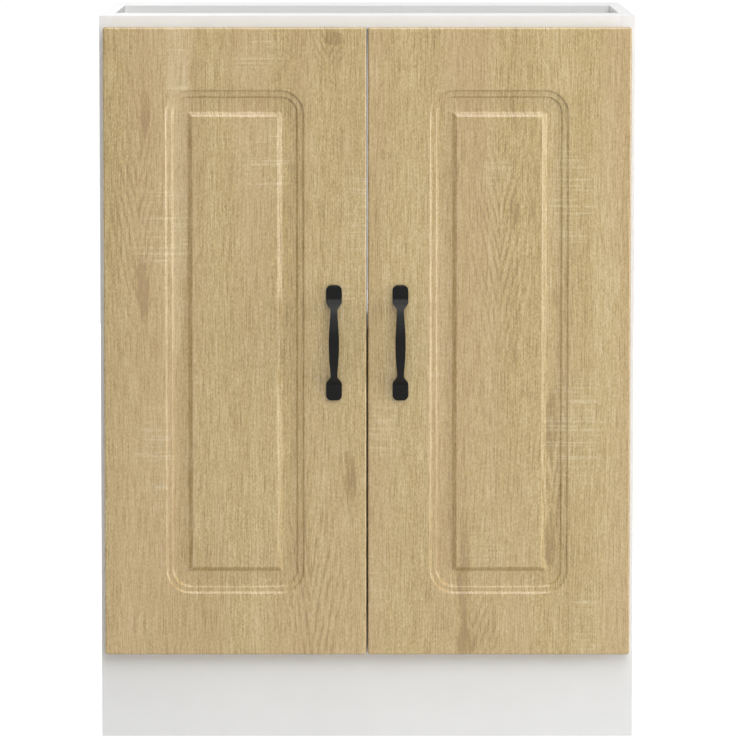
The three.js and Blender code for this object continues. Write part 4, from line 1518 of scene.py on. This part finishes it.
# ---------------------------------------------------------------- handles
@dataclass
class BowHandle:
    """A forged-look bow handle: two flat pads, two swept legs and a swelling bar. Millimetres."""

    side: Side
    finishes: Finishes
    pad_width: float = 17.8
    pad_thickness: float = 4.2
    pad_corner: float = 6.4
    fold: float = 48.4
    heel: float = 42.0
    shoulder: float = 46.4
    neck: float = 37.2
    neck_width: float = 7.7
    bar_width: float = 11.5
    bar_thickness: float = 6.0
    soften: float = 1.6
    rounding: float = 1.5
    level_rounding: float = 0.9
    last_ring: float = 64.5

    def build(self) -> None:
        """Makes the handle."""
        node = f"handle_{self.side.value}"
        extent = Extent.of(node)
        half, reach = extent.size.z / 2 / MM, extent.size.y / MM
        front, back, width = self._front(half, reach), self._back(reach), self._width(half)
        work = Workpiece()
        work.block(Extent(Vector((-1, -1, -half)), Vector((1, 1, half))))
        for place in self._stations(half):
            everything = work.bm.verts[:] + work.bm.edges[:] + work.bm.faces[:]
            level = (0, 0, place)
            bmesh.ops.bisect_plane(work.bm, geom=everything, dist=1e-4, plane_co=level, plane_no=(0, 0, 1))
        for point in work.bm.verts:
            place = abs(point.co.z)
            reading = front if point.co.y < 0 else back
            point.co.x *= sampled(width, place)
            point.co.y = -self._softened(reading, place)
        work.round_edges(self.rounding, 4, self._lengthwise(level=False), sharper_than=20)
        work.round_edges(self.level_rounding, 3, self._lengthwise(level=True), sharper_than=60)
        work.close_up()
        place = Matrix.Translation((extent.centre.x, extent.high.y, extent.centre.z))
        work.move(place @ Matrix.Scale(MM, 4))
        body, finish = f"door_{self.side.value}", [self.finishes.lacquer]
        work.deliver(f"{node}_made", body, finish, [node])

    @staticmethod
    def _stations(half: float) -> list[float]:
        """Where along the handle its section is set, from end to end."""
        bar = (*range(0, 24, 4), 24, 27, 30, 33, 35, 37, 38.5)
        leg = (*range(40, 51), 52, 56)
        end = (half - d for d in (5.0, 3.7, 2.6, 1.7, 0.95, 0.4, 0.1))
        return sorted({way * place for place in (*bar, *leg, *end) for way in (-1, 1)})

    def _lengthwise(self, level: bool) -> Callable[[bmesh.types.BMEdge], bool]:
        """Picks corner edges along the handle and at its ends: the front's level stretches, or the rest."""

        def passed(point: bmesh.types.BMVert) -> bool:
            """Whether a neighbouring point stands further off the door."""
            return any(point.co.y > e.other_vert(point).co.y + 1e-6 for e in point.link_edges)

        def pick(edge: bmesh.types.BMEdge) -> bool:
            """Whether an edge is one of them."""
            a, b = (v.co for v in edge.verts)
            along = abs(a.z - b.z) > 1e-4 and a.x * b.x > 0
            return (along or abs(a.z) > self.last_ring) and all(map(passed, edge.verts)) is not level

        return pick

    def _front(self, half: float, reach: float) -> list[tuple[float, float]]:
        """How far the front stands off the door, from the middle to the end."""
        fold, pad = self.fold, self.pad_thickness
        bow = bezier((0, reach), (fold * 0.62, reach), (fold * 0.87, reach * 0.43), (fold, pad))
        turns = (0.0, 0.5, 1.0, 1.4)
        edge = [(half - pad / 2 * (1 - math.sin(a)), pad / 2 + pad / 2 * math.cos(a)) for a in turns]
        return [*bow, *edge, (half, pad / 2)]

    def _back(self, reach: float) -> list[tuple[float, float]]:
        """How far the back stands off the door, from the middle to the end."""
        under = reach - self.bar_thickness
        heel = self.heel
        bow = bezier((0, under), (heel * 0.64, under), (heel * 0.9, under * 0.27), (heel, 0))
        return [*bow, (heel + 0.01, 0.0)]

    def _width(self, half: float) -> list[tuple[float, float]]:
        """Half the width, from the middle to the end."""
        pad, neck, bar = self.pad_width / 2, self.neck_width / 2, self.bar_width / 2
        thin, full = self.neck, self.shoulder
        swell = bezier((0, bar), (thin * 0.5, bar), (thin * 0.8, neck), (thin, neck))
        flare = bezier((thin, neck), (thin + 3, neck), (full - 3, pad), (full, pad))
        r = self.pad_corner
        turns = [i / 8 * QUARTER_TURN for i in range(9)]
        corner = [(half - r + r * math.sin(a), pad - r + r * math.cos(a)) for a in turns]
        return [*swell, *flare[1:], *corner]

    def _softened(self, path: Sequence[Point], place: float) -> float:
        """A reading of a curve with its creases softened."""
        offsets = (-1.0, -0.5, 0.0, 0.5, 1.0)
        limit = path[-1][0] - 4
        spread = self.soften if self.heel + 2 < place < limit else 0.0
        return sum(sampled(path, place + o * spread) for o in offsets) / len(offsets)


# ---------------------------------------------------------------- hinges
@dataclass
class CupHinge:
    """A concealed hinge: cup, arm and mounting plate. Millimetres, drawn for the left side."""

    side: Side
    level: Level
    finishes: Finishes
    front_y: float = -196.0
    board: float = 15.0
    cup_centre: float = 27.0
    cup_radius: float = 17.2
    cup_wall: float = 1.0
    cup_depth: float = 11.5
    flange: float = 1.0
    door_back: float = -2.0
    ear_offset: float = 6.0
    ear_radius: float = 6.4
    ear_spacing: float = 48.0
    plate_line: float = 37.0
    wing: tuple[float, float, float] = (22.4, 7.0, 2.0)
    ridge: tuple[float, float, float, float] = (17.0, 52.0, 4.7, 9.0)
    arm_sheet: float = 1.5
    arm_rear: float = 54.0
    arm_outer: float = 25.8
    arm_foot: float = 18.5
    pivot: tuple[float, float] = (23.5, -9.0)
    tip_radius: float = 2.6
    fork_root: float = -2.4
    half_outer: float = 6.5
    pin_radius: float = 1.5
    pin_proud: float = 0.3
    pin_rounding: float = 0.3
    fold_radius: float = 1.4
    sheet_rounding: float = 0.25
    plate_rounding: float = 0.6
    mouth_play: float = 0.2
    steps: int = 56

    def build(self) -> None:
        """Makes the three pieces; the link keeps its CAD shape."""
        self._cup()
        self._plate()
        self._arm()
        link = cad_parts[f"hinge_link_{self._suffix}"]
        link.data.materials.clear()
        link.data.materials.append(self.finishes.nickel)

    @property
    def _suffix(self) -> str:
        """The end of this hinge's names."""
        return f"{self.side.value}_{self.level.value}"

    def _set(self, work: Workpiece, kind: str, body: str) -> None:
        """Places a piece that is drawn as (inward, back, up) about the hinge's height."""
        height = Extent.of(f"hinge_link_{self._suffix}").centre.z
        wide = cad_box[0].x if self.side is Side.LEFT else cad_box[1].x
        turn = Matrix.Diagonal((self.side.inward * MM, MM, MM, 1.0))
        work.close_up()
        work.move(Matrix.Translation((wide, self.front_y * MM, height)) @ turn)
        node = f"{kind}_{self._suffix}"
        work.deliver(f"{node}_made", body, [self.finishes.nickel], [node], smooth_below=40)

    def _cup(self) -> None:
        """The round cup, and its flange with an ear above and below."""
        outer, inner, face = self.cup_radius, self.cup_radius - self.cup_wall, self.door_back
        top, bottom = self.flange, -self.cup_depth
        bowl = Workpiece()
        bowl.turn_profile(
            [
                (0.0, bottom),
                (outer - 1.2, bottom),
                (outer - 0.3, bottom + 0.4),
                (outer, bottom + 1.2),
                (outer, 0.0),
                (outer + 1.0, 0.0),
                (outer + 1.0, top - 0.3),
                (outer + 0.7, top),
                (inner + 0.4, top),
                (inner, top - 0.4),
                (inner, bottom + 3.0),
                (inner - 0.6, bottom + 1.7),
                (inner - 2.0, bottom + 1.0),
                (0.0, bottom + 1.0),
            ],
            self.steps,
        )
        bowl.close_up()
        ears = Workpiece()
        width, length = 2 * self.ear_radius, self.ear_spacing + 2 * self.ear_radius
        radius = self.ear_radius - 0.01
        places = [Vector((self.ear_offset, y, 0)) for y in (-top, 0.0)]
        ears.loft([RoundedLine(width, length, radius, place) for place in places], 8)
        ears.move(Matrix.Rotation(-QUARTER_TURN, 4, "X"))
        ears.round_edges(self.sheet_rounding, 2, sharper_than=60)
        mouth = Workpiece()
        mouth.rod(inner + self.mouth_play, Vector((0, 0, -1)), Vector((0, 0, top + 1)), self.steps)
        ears.cut(mouth)
        bowl.cut(ears, operation="UNION")
        place = Matrix.Translation((self.cup_centre, face, 0))
        bowl.move(place @ Matrix.Rotation(-QUARTER_TURN, 4, "X"))
        self._set(bowl, "hinge_cup", f"door_{self.side.value}")

    def _plate(self) -> None:
        """The mounting plate: a wing across, and a ridge along that carries the arm."""
        half_wing, half_depth, sheet = self.wing
        front, rear, half_ridge, height = self.ridge
        work = Workpiece()
        across = (front, self.plate_line - half_depth, self.plate_line + half_depth, rear)
        upward = (-half_wing, -half_ridge, half_ridge, half_wing)
        points = bmesh.ops.create_grid(work.bm, x_segments=3, y_segments=3, size=1.5)["verts"]
        for point in points:
            column, row = round(point.co.x + 1.5), round(point.co.y + 1.5)
            point.co = (self.board, across[column], upward[row])
        corners = [v.link_faces[0] for v in points if len(v.link_faces) == 1]
        bmesh.ops.delete(work.bm, geom=corners, context="FACES")
        self._raise(work, work.bm.faces[:], sheet)
        middle = [
            f
            for f in work.bm.faces
            if abs(f.calc_center_median().z) < half_ridge
            and all(abs(v.co.x - self.board - sheet) < 1e-3 for v in f.verts)
        ]
        self._raise(work, middle, height - sheet)
        bmesh.ops.delete(work.bm, geom=middle, context="FACES_ONLY")
        work.close_up()
        work.round_edges(self.plate_rounding, 3, lambda e: max(v.co.x for v in e.verts) > self.board + 0.1)
        self._set(work, "hinge_plate", "carcass")

    @staticmethod
    def _raise(work: Workpiece, faces: list[bmesh.types.BMFace], height: float) -> None:
        """Extrudes faces inward from the side panel."""
        bmesh.ops.translate(work.bm, vec=(height, 0, 0), verts=work.draw_out(faces))

    def _arm(self) -> None:
        """The arm: a folded sheet over the plate's ridge, whose cheeks end in a fork with its pin."""
        x, y = self.pivot
        ridge_front = self.ridge[0]
        cheek = (
            (self.arm_foot, ridge_front),
            (x - self.tip_radius, y - 1.2),
            (x - 1.2, y - self.tip_radius),
            (x + 1.2, y - self.tip_radius),
            (x + self.tip_radius, y - 1.2),
            (self.arm_outer, self.fork_root),
            (self.arm_outer, self.arm_rear),
            (self.arm_foot, self.arm_rear),
        )
        work = Workpiece()
        rims = []
        for z in (-self.half_outer, self.half_outer):
            points = [work.bm.verts.new((px, py, z)) for px, py in cheek]
            work.bm.faces.new(points)
            rims.append((points[5], points[6]))
        (a, b), (c, d) = rims
        web = work.bm.faces.new((a, b, d, c))
        folds = [e for e in web.edges if len(e.link_faces) == 2]
        bmesh.ops.bevel(
            work.bm,
            geom=folds,
            offset=self.fold_radius,
            affect="EDGES",
            segments=4,
            profile=ROUND,
            material=KEEP_FINISH,
        )
        bmesh.ops.recalc_face_normals(work.bm, faces=work.bm.faces[:])
        work.bm.normal_update()
        outward = max(work.bm.faces, key=lambda f: f.calc_center_median().x).normal.x
        if outward < 0:
            bmesh.ops.reverse_faces(work.bm, faces=work.bm.faces[:])
        bmesh.ops.solidify(work.bm, geom=work.bm.faces[:], thickness=self.arm_sheet)
        work.close_up()
        work.round_edges(self.sheet_rounding, 2, sharper_than=60)
        pin = Workpiece()
        reach = self.half_outer + self.pin_proud
        pin.rod(self.pin_radius, Vector((x, y, -reach)), Vector((x, y, reach)), segments=20)
        pin.round_edges(self.pin_rounding, 2, sharper_than=60)
        work.cut(pin, operation="UNION")
        self._set(work, "hinge_arm", "carcass")


# ---------------------------------------------------------------- studio
@dataclass(frozen=True)
class SoftLamp:
    """A large round light that faces the cabinet: its direction, and its distance and width in metres."""

    name: str
    direction: tuple[float, float, float]
    distance: float
    width: float
    power: float

    def build(self) -> None:
        """Sets the lamp up."""
        light = bpy.data.lights.new(self.name, "AREA")
        light.shape = "ELLIPSE"
        light.size = light.size_y = self.width
        light.energy = self.power
        lamp = bpy.data.objects.new(self.name, light)
        bpy.context.scene.collection.objects.link(lamp)
        towards = Vector(self.direction).normalized()
        lamp.location = (cad_box[0] + cad_box[1]) / 2 + towards * self.distance
        lamp.rotation_euler = (-towards).to_track_quat("-Z", "Y").to_euler()


@dataclass
class Studio:
    """The pale floor, the soft lights and the camera."""

    distance: float = 6.5
    eye_height: float = 1.0469
    aim_height: float = 0.4188
    offset: float = 0.0009
    lens: float = 283.8
    sensor: float = 36.0
    farthest: float = 200.0
    ambient: float = 0.33
    floor_reach: float = 60.0
    floor_grey: float = 0.65
    floor_glow: float = 0.86
    lamps: tuple[SoftLamp, ...] = (
        SoftLamp("overhead", (0.03, -0.22, 0.97), 4.5, 2.4, 87.0),
        SoftLamp("right", (0.93, -0.37, 0.0), 3.5, 1.8, 62.0),
        SoftLamp("rear", (-0.30, 0.95, 0.0), 5.0, 3.0, 90.0),
        SoftLamp("front", (0.22, -0.76, 0.61), 7.0, 6.0, 218.0),
    )

    def build(self) -> None:
        """Sets the scene."""
        self._camera()
        self._world()
        for lamp in self.lamps:
            lamp.build()
        self._floor()
        bpy.context.scene.view_settings.view_transform = "Standard"

    def _camera(self) -> None:
        """The camera in front, above the cabinet and looking a little down."""
        camera = bpy.data.objects.new("camera", bpy.data.cameras.new("camera"))
        bpy.context.scene.collection.objects.link(camera)
        front = Extent.of("plinth_board").low.y
        camera.location = (self.offset, front - self.distance, self.eye_height)
        away = Vector((self.offset, front, self.aim_height)) - camera.location
        camera.rotation_euler = away.to_track_quat("-Z", "Y").to_euler()
        camera.data.lens = self.lens
        camera.data.sensor_width = self.sensor
        camera.data.clip_end = self.farthest
        bpy.context.scene.camera = camera

    @staticmethod
    def _seen(graph: Graph) -> bpy.types.NodeSocket:
        """One for rays that show the background, and nought for rays that light the cabinet."""
        rays = graph.node("ShaderNodeLightPath").outputs
        first = graph.math("MAXIMUM", rays["Is Camera Ray"], rays["Is Glossy Ray"])
        return graph.math("MAXIMUM", first, rays["Is Transmission Ray"])

    def _world(self) -> None:
        """A white backdrop that gives an even, weaker light."""
        world = bpy.data.worlds.new("studio")
        world.use_nodes = True
        world.node_tree.nodes.clear()
        graph = Graph(world.node_tree)
        backdrop = graph.node("ShaderNodeBackground")
        seen = self._seen(graph)
        strength = graph.math("MULTIPLY_ADD", seen, 1.0 - self.ambient, self.ambient)
        graph.feed(backdrop.inputs["Strength"], strength)
        output = graph.node("ShaderNodeOutputWorld")
        graph.feed(output.inputs["Surface"], backdrop.outputs[0])
        bpy.context.scene.world = world

    def _floor(self) -> None:
        """A white floor that keeps the cabinet's shadow."""
        work = Workpiece()
        bmesh.ops.create_grid(work.bm, x_segments=1, y_segments=1, size=self.floor_reach)
        mesh = bpy.data.meshes.new("floor")
        work.bm.to_mesh(mesh)
        work.bm.free()
        floor = bpy.data.objects.new("floor", mesh)
        bpy.context.scene.collection.objects.link(floor)
        material = bpy.data.materials.new("floor_white")
        material.use_nodes = True
        material.node_tree.nodes.clear()
        graph = Graph(material.node_tree)
        matt = graph.node("ShaderNodeBsdfDiffuse")
        matt.inputs["Color"].default_value = (*(self.floor_grey,) * 3, 1.0)
        glow = graph.node("ShaderNodeEmission")
        graph.feed(glow.inputs["Strength"], graph.math("MULTIPLY", self._seen(graph), self.floor_glow))
        both = graph.node("ShaderNodeAddShader")
        graph.feed(both.inputs[0], matt.outputs[0])
        graph.feed(both.inputs[1], glow.outputs[0])
        output = graph.node("ShaderNodeOutputMaterial")
        graph.feed(output.inputs["Surface"], both.outputs[0])
        mesh.materials.append(material)


def main() -> None:
    """Builds the cabinet, then sets the studio round it."""
    logging.basicConfig(level=logging.INFO, format="%(name)s: %(message)s")
    finishes = Finishes(SharedEffects())
    Carcass(finishes).build()
    for side in Side:
        Door(side, finishes).build()
        BowHandle(side, finishes).build()
        for level in Level:
            CupHinge(side, level, finishes).build()
    Screws(finishes).build()
    Studio().build()


if __name__ == "__main__":
    main()
